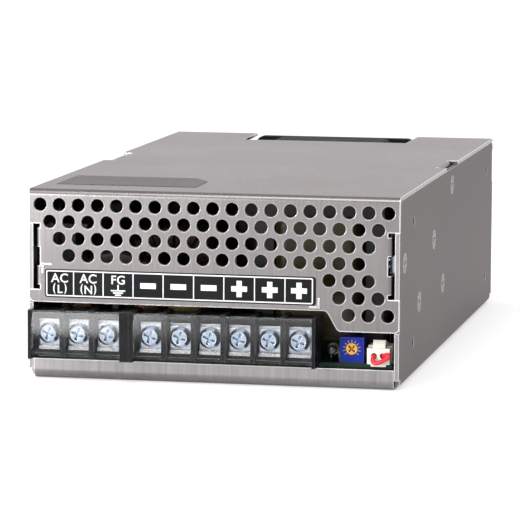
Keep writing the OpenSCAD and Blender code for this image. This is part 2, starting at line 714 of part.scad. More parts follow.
module terminal_screws() color("lightsteelblue") for (x = pole_xs)
    translate([x, front - plate_t - washer_t, screw_z]) rotate([-90, 0, 0])
        pan_screw(terminal_head_d, terminal_head_h, terminal_shank_d, plate_t + washer_t + 4.4);

// ---------- controls beside the terminals ----------

lamp_x = from_right(lamp_right);
lamp_z = board_top + 4;
trimmer_x = from_right(trimmer_right);
trimmer_z = board_top + 0.55 * trimmer_h;
trimmer_face = from_front(trimmer_y);
trimmer_shaft_d = 2;
socket_x = from_right(socket_right);
socket_face = from_front(5);
socket_l = 6;
socket_wall = 0.8;
socket_z = board_top + socket_h / 2;
cavity_x = 1.4;                 // the plug's two wires lie this far from its middle

module status_lamp(lead = 0.5, pitch = 2.54) color("darkslategray") {
    tip = from_front(2);
    translate([lamp_x, tip, lamp_z]) sphere(d = lamp_d);
    rod_y(lamp_x, lamp_z, tip, tip + 4.5, lamp_d);
    rod_y(lamp_x, lamp_z, tip + 3.5, tip + 4.5, lamp_d + 0.8);
    for (x = [-1, 1] * pitch / 2) translate([lamp_x + x - lead / 2, tip + 4.4, board_top]) {
        translate([0, 0, lamp_z - board_top - lead / 2]) cube([lead, 2.4, lead]);
        translate([0, 2.4 - lead, 0]) cube([lead, lead, lamp_z - board_top]);
    }
}

module trimmer_body() color("mediumblue") difference() {
    block([trimmer_x - trimmer_w / 2, trimmer_face, board_top],
        [trimmer_x + trimmer_w / 2, trimmer_face + 6, board_top + trimmer_h]);
    rod_y(trimmer_x, trimmer_z, trimmer_face - 1, trimmer_face + 0.8, rotor_d + 0.4);
    rod_y(trimmer_x, trimmer_z, trimmer_face, trimmer_face + 4, trimmer_shaft_d + 0.1);
}

// The trimmer's turning part: a slotted disc on a short shaft
module trimmer_rotor() color("orange") difference() {
    union() {
        rod_y(trimmer_x, trimmer_z, trimmer_face - 0.2, trimmer_face + 0.7, rotor_d);
        rod_y(trimmer_x, trimmer_z, trimmer_face, trimmer_face + 3.8, trimmer_shaft_d);
    }
    translate([trimmer_x, trimmer_face - 0.2, trimmer_z]) rotate([-90, 0, 0]) rotate([0, 0, 25])
        cross_recess(rotor_d * 0.7, 0.6, 0.6);
}

// An open-fronted housing on the edge of the board
module remote_socket() color("ivory") difference() {
    block([socket_x - socket_w / 2, socket_face, board_top],
        [socket_x + socket_w / 2, socket_face + socket_l, board_top + socket_h]);
    block([socket_x - socket_w / 2 + socket_wall, socket_face - 1, board_top + socket_wall],
        [socket_x + socket_w / 2 - socket_wall, socket_face + socket_l - 1,
            board_top + socket_h - socket_wall]);
    for (x = [-1, 1] * cavity_x) block([socket_x + x - 0.4, socket_face, socket_z - 0.4],
        [socket_x + x + 0.4, socket_face + socket_l + 1, socket_z + 0.4]);
}

module socket_leg(side, gap) block(
    [socket_x + side * cavity_x - 0.3 - gap, socket_face + socket_l + 0.4 - gap, board_low - 1],
    [socket_x + side * cavity_x + 0.3 + gap, socket_face + socket_l + 1 + gap, socket_z]);

module socket_pins() color("gold") for (side = [-1, 1]) {
    block([socket_x + side * cavity_x - 0.3, socket_face + 1.5, socket_z - 0.3],
        [socket_x + side * cavity_x + 0.3, socket_face + socket_l + 1, socket_z + 0.3]);
    socket_leg(side, 0);
}

// The plug: a body in the socket, a wider grip in front with two wire cavities, and a latch
module remote_plug(fit = 0.1) color("ivory") {
    half = socket_w / 2 - socket_wall - fit;
    face = from_front(1);
    difference() {
        union() {
            block([socket_x - half, face + 1, board_top + socket_wall + fit],
                [socket_x + half, socket_face + socket_l - 1.2,
                    board_top + socket_h - socket_wall - fit]);
            block([socket_x - 3.6, face, board_top + 0.1],
                [socket_x + 3.6, socket_face - 0.1, board_top + 5.2]);
            block([socket_x - 2.4, face, board_top - 0.6], [socket_x + 2.4, face + 1.2, board_top + 0.2]);
            along_x(socket_x - 2, socket_x + 2)
                polygon([[face + 0.8, board_top + 5], [face + 2.4, board_top + 7.6],
                [face + 3.4, board_top + 7.4], [face + 5, board_top + 6.5], [face + 8, board_top + 6.3],
                [face + 8, board_top + socket_h + fit], [face + 3.4, board_top + socket_h + fit],
                [face + 3.4, board_top + 5]]);
        }
        for (x = [-1, 1] * cavity_x) {
            rod_y(socket_x + x, socket_z, face - 1, face + 4, wire_d + 0.2);
            block([socket_x + x - 0.4, face + 3, socket_z - 0.4],
                [socket_x + x + 0.4, socket_face + socket_l, socket_z + 0.4]);
        }
    }
}

// A short loop of wire from one cavity of the plug to the other
jumper_route = [[-1.4, 4.6, 0], [-1.4, 2.6, 0], [-1.42, 0.9, -0.05], [-1.5, -0.4, -0.9],
    [-0.4, -1.2, -1.9], [1.2, -1.5, -2.1], [2.7, -1.3, -1.3], [3.2, -0.9, -0.1], [2.3, -0.4, 0.3],
    [1.42, 0.7, 0.05], [1.4, 2.8, 0], [1.4, 4.6, 0]];

module jumper_wire() color("crimson") {
    route = [for (p = jumper_route) [socket_x + p.x, from_front(p.y), socket_z + p.z]];
    tube_along(smooth(route, 5), wire_d, [0, 0.15, 1]);
}

// ---------- fan ----------

fan_rear = fan_front + fan_t;
fan_flange_t = 4;
fan_waist_d = fan_bore_d + 14.5;    // between the flanges the corners are cut back to this
fan_screw_head_d = 6.6;
fan_screw_shank_d = 3.9;
fan_base_t = 2.5;
bearing_d = 8;
bearing_l = 13;
cup_t = 1.5;

// Shapes whose axis is the fan's own axis
module on_fan_axis() translate([fan_cx, 0, fan_mid_z]) children();

module fan_frame() color("#202022") on_fan_axis() {
    base = fan_rear - 0.5 - fan_base_t;
    difference() {
        intersection() {
            along_y(fan_front, fan_rear)
                round_rect_2d([-fan_w / 2, -fan_w / 2], [fan_w / 2, fan_w / 2], 3);
            union() {
                rod_y(0, 0, fan_front, fan_rear, fan_waist_d);
                for (y = [fan_front, fan_rear - fan_flange_t])
                    block([-fan_w, y, -fan_w], [fan_w, y + fan_flange_t, fan_w]);
            }
        }
        rod_y(0, 0, fan_front - 1, fan_rear + 1, fan_bore_d);
        for (x = [-1, 1], z = [-1, 1], y = [fan_front - 1, fan_rear - fan_flange_t - 1])
            rod_y(x * fan_hole, z * fan_hole, y, y + fan_flange_t + 2,
                fan_screw_shank_d + 0.4);
    }
    difference() {
        union() {
            rod_y(0, 0, base, base + fan_base_t, hub_d);
            rod_y(0, 0, base - bearing_l, base + e, bearing_d);
            for (a = [45:90:315]) rotate([0, a, 0])
                block([hub_d / 2 - 1, base, -1.5], [fan_bore_d / 2 + 0.5, base + fan_base_t, 1.5]);
        }
        rod_y(0, 0, base - bearing_l - 1, base + 1, shaft_d + 2 * shaft_gap);
    }
}

// Motor core round the bearing tube, with four slots between its poles
module fan_stator() color("saddlebrown") on_fan_axis() {
    base = fan_rear - 0.5 - fan_base_t;
    difference() {
        rod_y(0, 0, base - bearing_l + 3, base, hub_d - 7);
        rod_y(0, 0, base - bearing_l, base + 1, bearing_d + 0.1);
        for (a = [0:90:270]) rotate([0, a + 20, 0])
            block([hub_d / 2 - 8, fan_front, -1.2], [hub_d, fan_rear, 1.2]);
    }
}

// One blade: a piece of a thin curved sheet between the hub and the tip circle
module fan_blade(y0, y1, pitch = 38, sheet = 1.4, bend = 26) {
    chord = (y1 - y0) / cos(pitch) / 2;
    intersection() {
        difference() {
            rod_y(0, 0, y0, y1, fan_bore_d - 2 * tip_gap);
            rod_y(0, 0, y0 - 1, y1 + 1, hub_d - 1);
        }
        translate([0, (y0 + y1) / 2, 0]) rotate([90 - pitch, 0, 0]) intersection() {
            translate([0, 0, -bend]) difference() {
                rod_x(0, 0, 5, fan_bore_d / 2, 2 * bend + sheet);
                rod_x(0, 0, 4, fan_bore_d / 2 + 1, 2 * bend - sheet);
            }
            block([0, -chord, -bend], [fan_bore_d, chord, bend]);
        }
    }
}

module fan_rotor() color("#2a2a2c") on_fan_axis() {
    cup_front = fan_front + 1.5;
    cup_rear = fan_rear - fan_base_t - 1.5;
    difference() {
        rod_y(0, 0, cup_front, cup_rear, hub_d);
        rod_y(0, 0, cup_front + cup_t, cup_rear + 1, hub_d - 2 * cup_t);
    }
    rod_y(0, 0, cup_front + cup_t - e, cup_rear, shaft_d);
    for (i = [0:blades - 1]) rotate([0, 360 * i / blades, 0]) fan_blade(cup_front + 1, cup_rear - 1);
}

module fan_screws() color("silver") for (s = fan_screws_at) translate([s.x, rear, s.y]) rotate([90, 0, 0])
    csk_screw(fan_screw_head_d, fan_screw_shank_d, chassis_t + fan_flange_t - 0.3);

fan_socket_at = [from_right(21), board_rear - 8];
// From the fan's front flange, up and over the edge of the board, down into the socket
fan_lead_route = [[-11.4, 10.7, 4], [-11.4, 9.6, 4.05], [-9.6, 7.6, 8.6], [-6, 4.6, 11.4],
    [-2.4, 1.4, 10.6], [-1.3, 0.2, 6], [-1.25, 0, 2]];

// Two wires side by side
module fan_lead(d = 1.3, pitch = 2.5) for (i = [0, 1]) color(["firebrick", "black"][i]) {
    start = [fan_socket_at.x + i * pitch, fan_socket_at.y, board_top];
    tube_along(smooth([for (p = fan_lead_route) start + p], 3), d, [1, 0.2, 0.1]);
}

module fan_socket() color("ivory") difference() {
    block([fan_socket_at.x - 3.8, fan_socket_at.y - 2.9, board_top],
        [fan_socket_at.x + 3.8, fan_socket_at.y + 2.9, board_top + 6]);
    block([fan_socket_at.x - 3, fan_socket_at.y - 2.1, board_top + 1],
        [fan_socket_at.x + 3, fan_socket_at.y + 2.1, board_top + 7]);
}

// ---------- heat sinks and what is fixed to them ----------

sink_x = pad_t - inner;                 // outer face of the left heat sink
device_x = sink_x + sink_t;             // its inner face, where the devices sit
sink_y = from_front(sink_front);
sink_h = room_h - sink_gap;
sink_flange = 8;
sink_flange_t = 3;
device_w = 16;
device_h = 21;
device_t = 5;
device_z = board_top + 6;
device_hole_z = device_z + device_h - 4;
device_ys = [for (y = [12, 31, 50]) sink_y + y];
bridge_y = sink_y + 55;
bridge_w = 22;
device_screw_d = 2.9;

// The left heat sink: a bar with a flange along its top
module heatsink_shape(devices) difference() {
    along_y(sink_y, sink_y + sink_l) translate([sink_x, board_top]) {
        square([sink_t, sink_h]);
        translate([0, sink_h - sink_flange_t]) square([sink_flange, sink_flange_t]);
    }
    for (s = sink_screws) rod_x(s.x, s.y, sink_x - 1, device_x + 1, csk_shank_d + 2 * screw_gap);
    for (y = devices) rod_x(y, device_hole_z, sink_x - 1, device_x + 1, device_screw_d + 2 * screw_gap);
}

module heatsink_left() color("silver") heatsink_shape([device_ys[0], device_ys[1], bridge_y]);
module heatsink_right() color("silver") mirror([1, 0, 0]) heatsink_shape(device_ys);

module thermal_pads(edge = 1) color("lightsteelblue") both_sides() difference() {
    block([-inner, sink_y + edge, board_top + edge],
        [sink_x, sink_y + sink_l - edge, board_top + sink_h - edge]);
    for (s = sink_screws) rod_x(s.x, s.y, left, device_x, csk_shank_d + 6 * screw_gap);
}

// A flat package standing against the left heat sink on three leads
module power_device(y) {
    difference() {
        block([device_x, y - device_w / 2, device_z],
            [device_x + device_t, y + device_w / 2, device_z + device_h]);
        rod_x(y, device_hole_z, device_x - 1, device_x + device_t + 1, device_screw_d + 3 * screw_gap);
    }
    for (i = [-1:1]) block([device_x + 2, y + i * 5.45 - 0.6, board_top],
        [device_x + 2.6, y + i * 5.45 + 0.6, device_z + e]);
}

module power_transistors() color("#222226") for (i = [0, 1]) power_device(device_ys[i]);
module output_rectifiers() color("#222226") mirror([1, 0, 0]) for (y = device_ys) power_device(y);

module bridge_rectifier(t = 4) color("#26262a") {
    difference() {
        block([device_x, bridge_y - bridge_w / 2, device_z],
            [device_x + t, bridge_y + bridge_w / 2, device_z + device_h]);
        rod_x(bridge_y, device_hole_z, device_x - 1, device_x + t + 1, device_screw_d + 3 * screw_gap);
        translate([device_x - e, bridge_y + bridge_w / 2, device_z + device_h]) rotate([45, 0, 0])
            translate([0, -2, -2]) cube([t + 1, 4, 4]);
    }
    for (i = [0:3]) block([device_x + 1.6, bridge_y - 7.6 + i * 5.08 - 0.5, board_top],
        [device_x + 2.4, bridge_y - 7.6 + i * 5.08 + 0.5, device_z + e]);
}

module device_screw(y, t) translate([device_x + t, y, device_hole_z]) rotate([0, -90, 0])
    pan_screw(5.5, 2, device_screw_d, t + sink_t - 0.3);

module device_screws() color("silver") {
    for (i = [0, 1]) device_screw(device_ys[i], device_t);
    device_screw(bridge_y, 4);
    mirror([1, 0, 0]) for (y = device_ys) device_screw(y, device_t);
}

// ---------- parts standing on the board ----------

turn_gap = 0.1;                 // between a winding and its core

// Places a child with its own middle at the origin upright on the board, height r above it
module stand(x, y, r) translate([x, y, board_top + r]) children();

// A ring core with its axis along Z
module ring_core(od, id, h) rotate_extrude() round_rect_2d([id / 2, -h / 2], [od / 2, h / 2], 1.5);

// Turns of wire round that core at the given angles
module ring_turns(od, id, h, wire, angles) for (a = angles) rotate([0, 0, a]) translate([0, wire / 2, 0])
    rotate([90, 0, 0]) linear_extrude(wire) difference() {
        round_rect_2d([id / 2 - turn_gap - wire, -h / 2 - turn_gap - wire],
            [od / 2 + turn_gap + wire, h / 2 + turn_gap + wire], 1.5 + wire);
        round_rect_2d([id / 2 - turn_gap, -h / 2 - turn_gap], [od / 2 + turn_gap, h / 2 + turn_gap], 1.5);
    }

// Line filter choke: two windings on one upright ring, with a divider in the ring and a foot under it
filter_core = [30, 17, 11];
filter_wire = 1.5;
filter_at = [from_left(24), from_front(23)];
module stand_filter_choke() stand(filter_at.x, filter_at.y, filter_core[0] / 2 + turn_gap + filter_wire)
    rotate([90, 0, 0]) children();
module filter_choke_core() color("darkgreen") stand_filter_choke() {
    ring_core(filter_core[0], filter_core[1], filter_core[2]);
    block([-1, -filter_core[1] / 2 - 0.5, -4.5], [1, filter_core[1] / 2 + 0.5, 4.5]);
    block([-3, -filter_core[0] / 2 - turn_gap - filter_wire, -5], [3, 1 - filter_core[0] / 2, 5]);
}
module filter_choke_winding() color("chocolate") stand_filter_choke()
    ring_turns(filter_core[0], filter_core[1], filter_core[2], filter_wire,
        [for (side = [0, 180], i = [-4:4]) side + i * 16]);

// Boost choke: one winding all round an upright ring
boost_core = [34, 19, 13];
boost_wire = 1.6;
boost_at = [from_left(34), from_front(62)];
module stand_boost_choke() stand(boost_at.x, boost_at.y, boost_core[0] / 2 + turn_gap + boost_wire)
    rotate([90, 0, 0]) children();
module boost_choke_core() color("olivedrab") stand_boost_choke()
    ring_core(boost_core[0], boost_core[1], boost_core[2]);
module boost_choke_winding() color("chocolate") stand_boost_choke()
    ring_turns(boost_core[0], boost_core[1], boost_core[2], boost_wire, [for (i = [0:23]) 270 + i * 15]);

// A ferrite core with two windows, standing on the board
module window_core(at, w, d, h, leg, yoke) translate([at.x, at.y, board_top]) difference() {
    block([-w / 2, -d / 2, 0], [w / 2, d / 2, h]);
    both_sides() block([leg / 2, -d, yoke], [w / 2 - leg / 2, d, h - yoke]);
}

// A taped winding on that core's middle leg, between the bobbin's two flanges
module window_coil(at, w, d, h, leg, core_d, yoke, flange = 1.2, gap = 0.2) {
    room = w / 2 - leg / 2 - gap;
    high = h - 2 * yoke - 2 * gap;
    translate([at.x, at.y, board_top + yoke + gap]) difference() {
        union() {
            linear_extrude(high) round_rect_2d([1 - room, -d / 2], [room - 1, d / 2], 4);
            for (z = [0, high - flange]) translate([0, 0, z])
                linear_extrude(flange) round_rect_2d([-room, -d / 2 - 1], [room, d / 2 + 1], 1.5);
        }
        block([-leg / 2 - gap, -core_d / 2 - gap, -1], [leg / 2 + gap, core_d / 2 + gap, high + 1]);
    }
}

output_choke_at = [from_right(29.5), from_front(28)];
output_choke = [42, 24, room_h - 3, 12, 12, 5];     // core width, coil depth, height, leg, core depth, yoke
module output_choke_core() color("#303034")
    window_core(output_choke_at, output_choke[0], output_choke[4], output_choke[2], output_choke[3],
        output_choke[5]);
module output_choke_coil() color("goldenrod")
    window_coil(output_choke_at, output_choke[0], output_choke[1],
    output_choke[2], output_choke[3], output_choke[4], output_choke[5]);

transformer_at = [from_right(47), from_front(92)];
transformer = [44, 34, room_h - 8, 14, 16, 7];
module transformer_core() color("#303034")
    window_core(transformer_at, transformer[0], transformer[4], transformer[2], transformer[3],
        transformer[5]);
module transformer_coil() color("goldenrod") window_coil(transformer_at, transformer[0], transformer[1],
    transformer[2], transformer[3], transformer[4], transformer[5]);

// A can capacitor: grooved near its foot, rounded at the top, with a cross-shaped vent
module can_capacitor(d, h, groove = 0.5) difference() {
    rotate_extrude() difference() {
        union() {
            square([d / 2, h - 1]);
            square([d / 2 - 1, h]);
            translate([d / 2 - 1, h - 1]) circle(1);
        }
        translate([d / 2 + groove, 3]) circle(2 * groove);
        translate([0, h - 0.5]) square([d / 2 - 2, 1]);
    }
    for (a = [0, 90]) rotate([0, 0, a]) translate([-d / 3, -0.2, h - 0.8]) cube([2 * d / 3, 0.4, 1]);
}

module bulk_capacitors(d = 25, pitch = 27, top_gap = 7) color("#20242c") for (i = [0:2])
    translate([from_left(25.2), board_rear - 16 - i * pitch, board_top]) can_capacitor(d, room_h - top_gap);
module output_capacitors(d = 12.5, h = 25) color("#20242c") for (x = [20.5, 34, 47.5], y = [49, 63])
    translate([from_right(x), from_front(y), board_top]) can_capacitor(d, h);

module x_capacitors() color("goldenrod") {
    for (c = [[47.5, 27.8, 90], [29, 41, 0]]) translate([from_left(c[0]), from_front(c[1]), board_top])
        rotate([0, 0, c[2]]) linear_extrude(20) round_rect_2d([-12.5, -5.5], [12.5, 5.5], 1);
}

// Discs on two wire leads
module disc_part(x, y, d, t, lift = 2) {
    rod_y(x, board_top + lift + d / 2, y - t / 2, y + t / 2, d);
    for (s = [-1, 1]) rod_z(x + s * d / 4, y, board_top, board_top + lift + d / 4, 0.7);
}
module y_capacitors() color("royalblue") for (y = [43.2, 48.8])
    disc_part(from_left(46.8), from_front(y), 8.5, 3.5);
module thermistor() color("#283828") disc_part(from_left(25), from_front(50), 12, 5);

fuse_at = [from_left(50), from_front(11)];
fuse_d = 5.2;
fuse_z = board_top + 4.4;
module line_fuse(l = 20, cap = 5) color("white") {
    rod_x(fuse_at.y, fuse_z, fuse_at.x - l / 2, fuse_at.x + l / 2, fuse_d);
    for (s = [-1, 1]) rod_x(fuse_at.y, fuse_z, fuse_at.x + s * (l / 2 - cap / 2) - cap / 2,
        fuse_at.x + s * (l / 2 - cap / 2) + cap / 2, fuse_d + 0.5);
}
module fuse_clips(t = 0.5, grip = 0.05) color("silver") for (s = [-1, 1])
    along_x(fuse_at.x + s * 7.5 - 1.5, fuse_at.x + s * 7.5 + 1.5) difference() {
        r = fuse_d / 2 + 0.25 + grip;
        union() {
            translate([fuse_at.y, fuse_z]) circle(r + t);
            translate([fuse_at.y - 2, board_top]) square([4, fuse_z - board_top]);
        }
        translate([fuse_at.y, fuse_z]) circle(r);
        translate([fuse_at.y - 1.8, fuse_z]) square([3.6, 6]);
    }

module inrush_relay() color("#2c2c30") translate([from_left(25), from_front(76.2), board_top])
    linear_extrude(16) round_rect_2d([-10, -4.8], [10, 4.8], 0.8);

// A small board standing on edge, with its chips on the side away from the wall
control_x = from_right(22);
control_y = board_rear - 67.5;
control_h = room_h - 16;
module control_board() color("darkgreen")
    block([control_x, control_y, board_top], [control_x + 1.6, control_y + 48, board_top + control_h]);
module control_chips() color("#222226")
    for (c = [[8, 10, 10, 7], [24, 9, 12, 8], [36, 22, 7, 10], [10, 24, 6, 5], [22, 26, 5, 4]])
    block([control_x - 1.8, control_y + c[0], board_top + c[1]],
        [control_x, control_y + c[0] + c[2], board_top + c[1] + c[3]]);

chassis();
cover();
clip_nuts();
cover_screws();
heatsink_screws();
standoffs();
insulation_sheet();
main_board();
board_screws();
ac_terminal_body();
dc_terminal_body();
ac_terminal_cover();
dc_terminal_cover();
contact_plates();
square_washers();
terminal_screws();
status_lamp();
trimmer_body();
trimmer_rotor();
remote_socket();
socket_pins();
remote_plug();
jumper_wire();
fan_frame();
fan_stator();
fan_rotor();
fan_screws();
fan_lead();
fan_socket();
heatsink_left();
heatsink_right();
thermal_pads();
power_transistors();
output_rectifiers();
bridge_rectifier();
device_screws();
line_fuse();
fuse_clips();
x_capacitors();
y_capacitors();
filter_choke_core();
filter_choke_winding();
boost_choke_core();
boost_choke_winding();
output_choke_core();
output_choke_coil();
transformer_core();
transformer_coil();
bulk_capacitors();
output_capacitors();
thermistor();
inrush_relay();
control_board();
control_chips();
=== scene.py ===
# %% [markdown]
# # An enclosed switching power supply
#
# This file dresses a CAD model of a mains power supply in a folded sheet-metal case. The CAD part
# arrives as a fixed frame, and its shapes never change here. What is left for Blender is what a
# drawing doesn't hold: how each surface looks, the printed label, the small marks, the soft wire,
# and the light.

# %% Load the frame
import math

import bmesh
import bpy
from mathutils import Matrix, Vector


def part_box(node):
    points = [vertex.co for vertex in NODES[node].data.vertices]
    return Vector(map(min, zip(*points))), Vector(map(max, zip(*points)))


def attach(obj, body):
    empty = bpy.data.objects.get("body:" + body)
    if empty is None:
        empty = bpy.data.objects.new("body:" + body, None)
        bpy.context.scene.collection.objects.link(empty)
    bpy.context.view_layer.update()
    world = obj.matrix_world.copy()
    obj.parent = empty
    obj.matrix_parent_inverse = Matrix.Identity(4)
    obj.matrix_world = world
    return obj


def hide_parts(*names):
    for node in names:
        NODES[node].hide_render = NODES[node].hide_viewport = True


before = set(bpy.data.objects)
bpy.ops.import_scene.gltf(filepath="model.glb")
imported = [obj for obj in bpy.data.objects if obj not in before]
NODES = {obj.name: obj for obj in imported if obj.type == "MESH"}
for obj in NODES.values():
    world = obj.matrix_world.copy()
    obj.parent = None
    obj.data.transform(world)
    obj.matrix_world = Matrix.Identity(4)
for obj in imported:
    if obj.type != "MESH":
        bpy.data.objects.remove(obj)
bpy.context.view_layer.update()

MM = 0.001
scene = bpy.context.scene

# %% [markdown]
# ## Where things are
#
# The case's own faces are read from the boxes of the CAD nodes, and later positions are given from
# them in millimetres: X to the right, Y to the rear, Z up.

# %% The case's faces
MARKS_PROUD = 0.2 * MM      # the label panel's corner marks stand this far in front of the plate
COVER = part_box("cover")
FRONT = COVER[0][1] + MARKS_PROUD
LEFT = COVER[0][0]
TOP = COVER[1][2]
print("front face at", round(FRONT / MM, 2), "left", round(LEFT / MM, 2), "top", round(TOP / MM, 2))


def on_front(points):
    """Points in millimetres from the left and the underside of the case, as (x, z) in metres."""
    return [(LEFT + x * MM, z * MM) for x, z in points]


def on_top(points, lift):
    """Points in millimetres from the left and the front of the case, lifted off its top."""
    return [(LEFT + x * MM, FRONT + y * MM, TOP + lift * MM) for x, y in points]


# %% [markdown]
# ## Camera, light and floor
#
# The camera stands a good metre away with a long lens, so that the case's edges converge only a
# little. It is aimed with a look direction and an up direction instead of Euler angles, because
# two vectors are easier to reason about than three rotations.

# %% Camera
CAMERA_PLACE = Vector((0.2296, -1.1625, 0.1751))
CAMERA_FORWARD = Vector((-0.1974, 0.9723, -0.1250))
CAMERA_UP = Vector((-0.0298, 0.1215, 0.9921))
SENSOR_HEIGHT = 36          # both in millimetres
LENS = 236.0914


def looking(place, forward, up):
    """The matrix of a camera or lamp at a place that looks along forward."""
    back = -forward.normalized()
    right = up.cross(back).normalized()
    true_up = back.cross(right)
    turn = Matrix((right, true_up, back)).transposed()
    return Matrix.Translation(place) @ turn.to_4x4()


camera = bpy.data.objects.new("camera", bpy.data.cameras.new("camera"))
scene.collection.objects.link(camera)
camera.data.sensor_fit = "VERTICAL"
camera.data.sensor_height = SENSOR_HEIGHT
camera.data.lens = LENS
camera.data.clip_end = 20
camera.matrix_world = looking(CAMERA_PLACE, CAMERA_FORWARD, CAMERA_UP)
bpy.context.scene.camera = camera
print("lens", round(camera.data.lens, 1), "mm")

# %% [markdown]
# Shader nodes are made by three small functions. They take a number or another node's socket for
# any input, so that a chain of nodes reads like a formula.

# %% Node helpers
def add_node(tree, kind, links=None, **settings):
    """A node with its settings, fed by {input name or index: socket or value}."""
    node = tree.nodes.new("ShaderNode" + kind)
    for key, value in settings.items():
        setattr(node, key, value)
    for key, value in (links or {}).items():
        socket = node.inputs[key]
        if isinstance(value, bpy.types.NodeSocket):
            tree.links.new(value, socket)
        else:
            socket.default_value = value
    return node


def maths(tree, operation, *values, **settings):
    """The result of a Math node."""
    node = add_node(tree, "Math", dict(enumerate(values)), operation=operation, **settings)
    return node.outputs[0]


def remap(tree, value, low, high, to_low=0.0, to_high=1.0, **settings):
    """The result of a Map Range node: low to high becomes to_low to to_high."""
    ends = {0: value, 1: low, 2: high, 3: to_low, 4: to_high}
    return add_node(tree, "MapRange", ends, **settings).outputs[0]


def blend(tree, share, start, end):
    """A mix of two colours: share 0 gives start, 1 gives end."""
    return add_node(tree, "Mix", {0: share, 6: start, 7: end}, data_type="RGBA").outputs[2]


def seen_directly(tree):
    """1 where a ray comes from the camera, a mirror or through glass, 0 where it only lights."""
    rays = add_node(tree, "LightPath").outputs
    seen = maths(tree, "MAXIMUM", rays["Is Camera Ray"], rays["Is Glossy Ray"])
    return maths(tree, "MAXIMUM", seen, rays["Is Transmission Ray"])


print("node helpers ready")

# %% World
AMBIENT = 0.6
scene.view_settings.view_transform = "Standard"
world = bpy.data.worlds.new("studio")
scene.world = world
world.use_nodes = True
tree = world.node_tree
background = tree.nodes["Background"]
strength = maths(tree, "MULTIPLY_ADD", seen_directly(tree), 1 - AMBIENT, AMBIENT)
tree.links.new(strength, background.inputs["Strength"])
background.inputs["Color"].default_value = (1, 1, 1, 1)
print("world strength: 1 when seen,", AMBIENT, "as light")

# %% [markdown]
# The light is plain and soft. One wide lamp hangs above the front. Two stand low in front on the
# left, one over the other, and the left end of the front plate mirrors more of them than the right
# end. A weak one high on the left lights the rolled rims of the holes. Metal mostly shows what is
# round it, so the places of the lamps decide more than their strength.

# %% Lamps
def softbox(name, place, target, width, height, power):
    """A rectangular area lamp that faces a target point."""
    lamp = bpy.data.objects.new(name, bpy.data.lights.new(name, "AREA"))
    scene.collection.objects.link(lamp)
    lamp.data.shape = "RECTANGLE"
    lamp.data.size = width
    lamp.data.size_y = height
    lamp.data.energy = power
    aim = Vector(target) - Vector(place)
    lamp.matrix_world = looking(Vector(place), aim, Vector((0, 0, 1)))


softbox("top_light", (-0.05, -0.7, 0.95), (0, 0, 0), 0.55, 0.55, 4.6)
softbox("front_light", (-0.53, -0.95, 0.22), (-0.03, -0.107, 0.03), 0.62, 0.32, 4.2)
softbox("low_light", (-0.56, -0.95, 0.1), (-0.06, -0.107, 0.03), 0.4, 0.2, 4.4)
softbox("left_light", (-0.9, -0.5, 0.6), (-0.06, -0.1, 0.03), 0.45, 0.45, 2)

# %% [markdown]
# The floor glows a little where it is seen, so that it runs into the white of the world far away.
# It is see-through from below, and lies just clear of the case, so that the two faces don't
# flicker.

# %% Floor
FLOOR_HALF = 3.0
FLOOR_LEVEL = -0.2 * MM
FLOOR_GLOW = 0.48
CORNERS = ((-1, -1), (1, -1), (1, 1), (-1, 1))
mesh = bpy.data.meshes.new("floor")
mesh.from_pydata([(x * FLOOR_HALF, y * FLOOR_HALF, FLOOR_LEVEL) for x, y in CORNERS],
                 [], [(0, 1, 2, 3)])
floor = bpy.data.objects.new("floor", mesh)
scene.collection.objects.link(floor)
floor_finish = bpy.data.materials.new("studio_floor")
floor_finish.use_nodes = True
tree = floor_finish.node_tree
shader = tree.nodes["Principled BSDF"]
shader.inputs["Base Color"].default_value = (0.85, 0.85, 0.85, 1)
shader.inputs["Roughness"].default_value = 0.9
shader.inputs["Emission Color"].default_value = (1, 1, 1, 1)
glow = maths(tree, "MULTIPLY", seen_directly(tree), FLOOR_GLOW)
tree.links.new(glow, shader.inputs["Emission Strength"])
below = add_node(tree, "NewGeometry").outputs["Backfacing"]
gone = add_node(tree, "BsdfTransparent").outputs[0]
shown = add_node(tree, "MixShader", {0: below, 1: shader.outputs[0], 2: gone})
tree.links.new(shown.outputs[0], tree.nodes["Material Output"].inputs["Surface"])
floor.data.materials.append(floor_finish)
print("floor", 2 * FLOOR_HALF, "m wide")

# %% [markdown]
# ## Effects shared by the materials
#
# Rolled sheet, moulded plastic and plated screws differ in colour, but they share a few effects.
# Each effect is a node group with its own inputs, so a material only has to set the numbers.

# %% A small builder for node groups
SOCKETS = {"value": "NodeSocketFloat", "colour": "NodeSocketColor", "vector": "NodeSocketVector"}


class Group:
    """A shader node group under construction: inputs are (name, kind, default)."""

    def __init__(self, name, inputs, outputs):
        self.tree = bpy.data.node_groups.new(name, "ShaderNodeTree")
        new_socket = self.tree.interface.new_socket
        for socket, kind, default in inputs:
            made = new_socket(socket, in_out="INPUT", socket_type=SOCKETS[kind])
            made.default_value = default
        for socket, kind in outputs:
            new_socket(socket, in_out="OUTPUT", socket_type=SOCKETS[kind])
        self.given = self.tree.nodes.new("NodeGroupInput").outputs
        self.end = self.tree.nodes.new("NodeGroupOutput")

    def out(self, name, socket):
        self.tree.links.new(socket, self.end.inputs[name])


print("group builder ready")

# %% [markdown]
# **Grain.** Cold-rolled sheet keeps fine parallel lines from the rollers. Noise that is stretched
# along one axis gives such lines; their direction is a vector of scales, small along the lines.

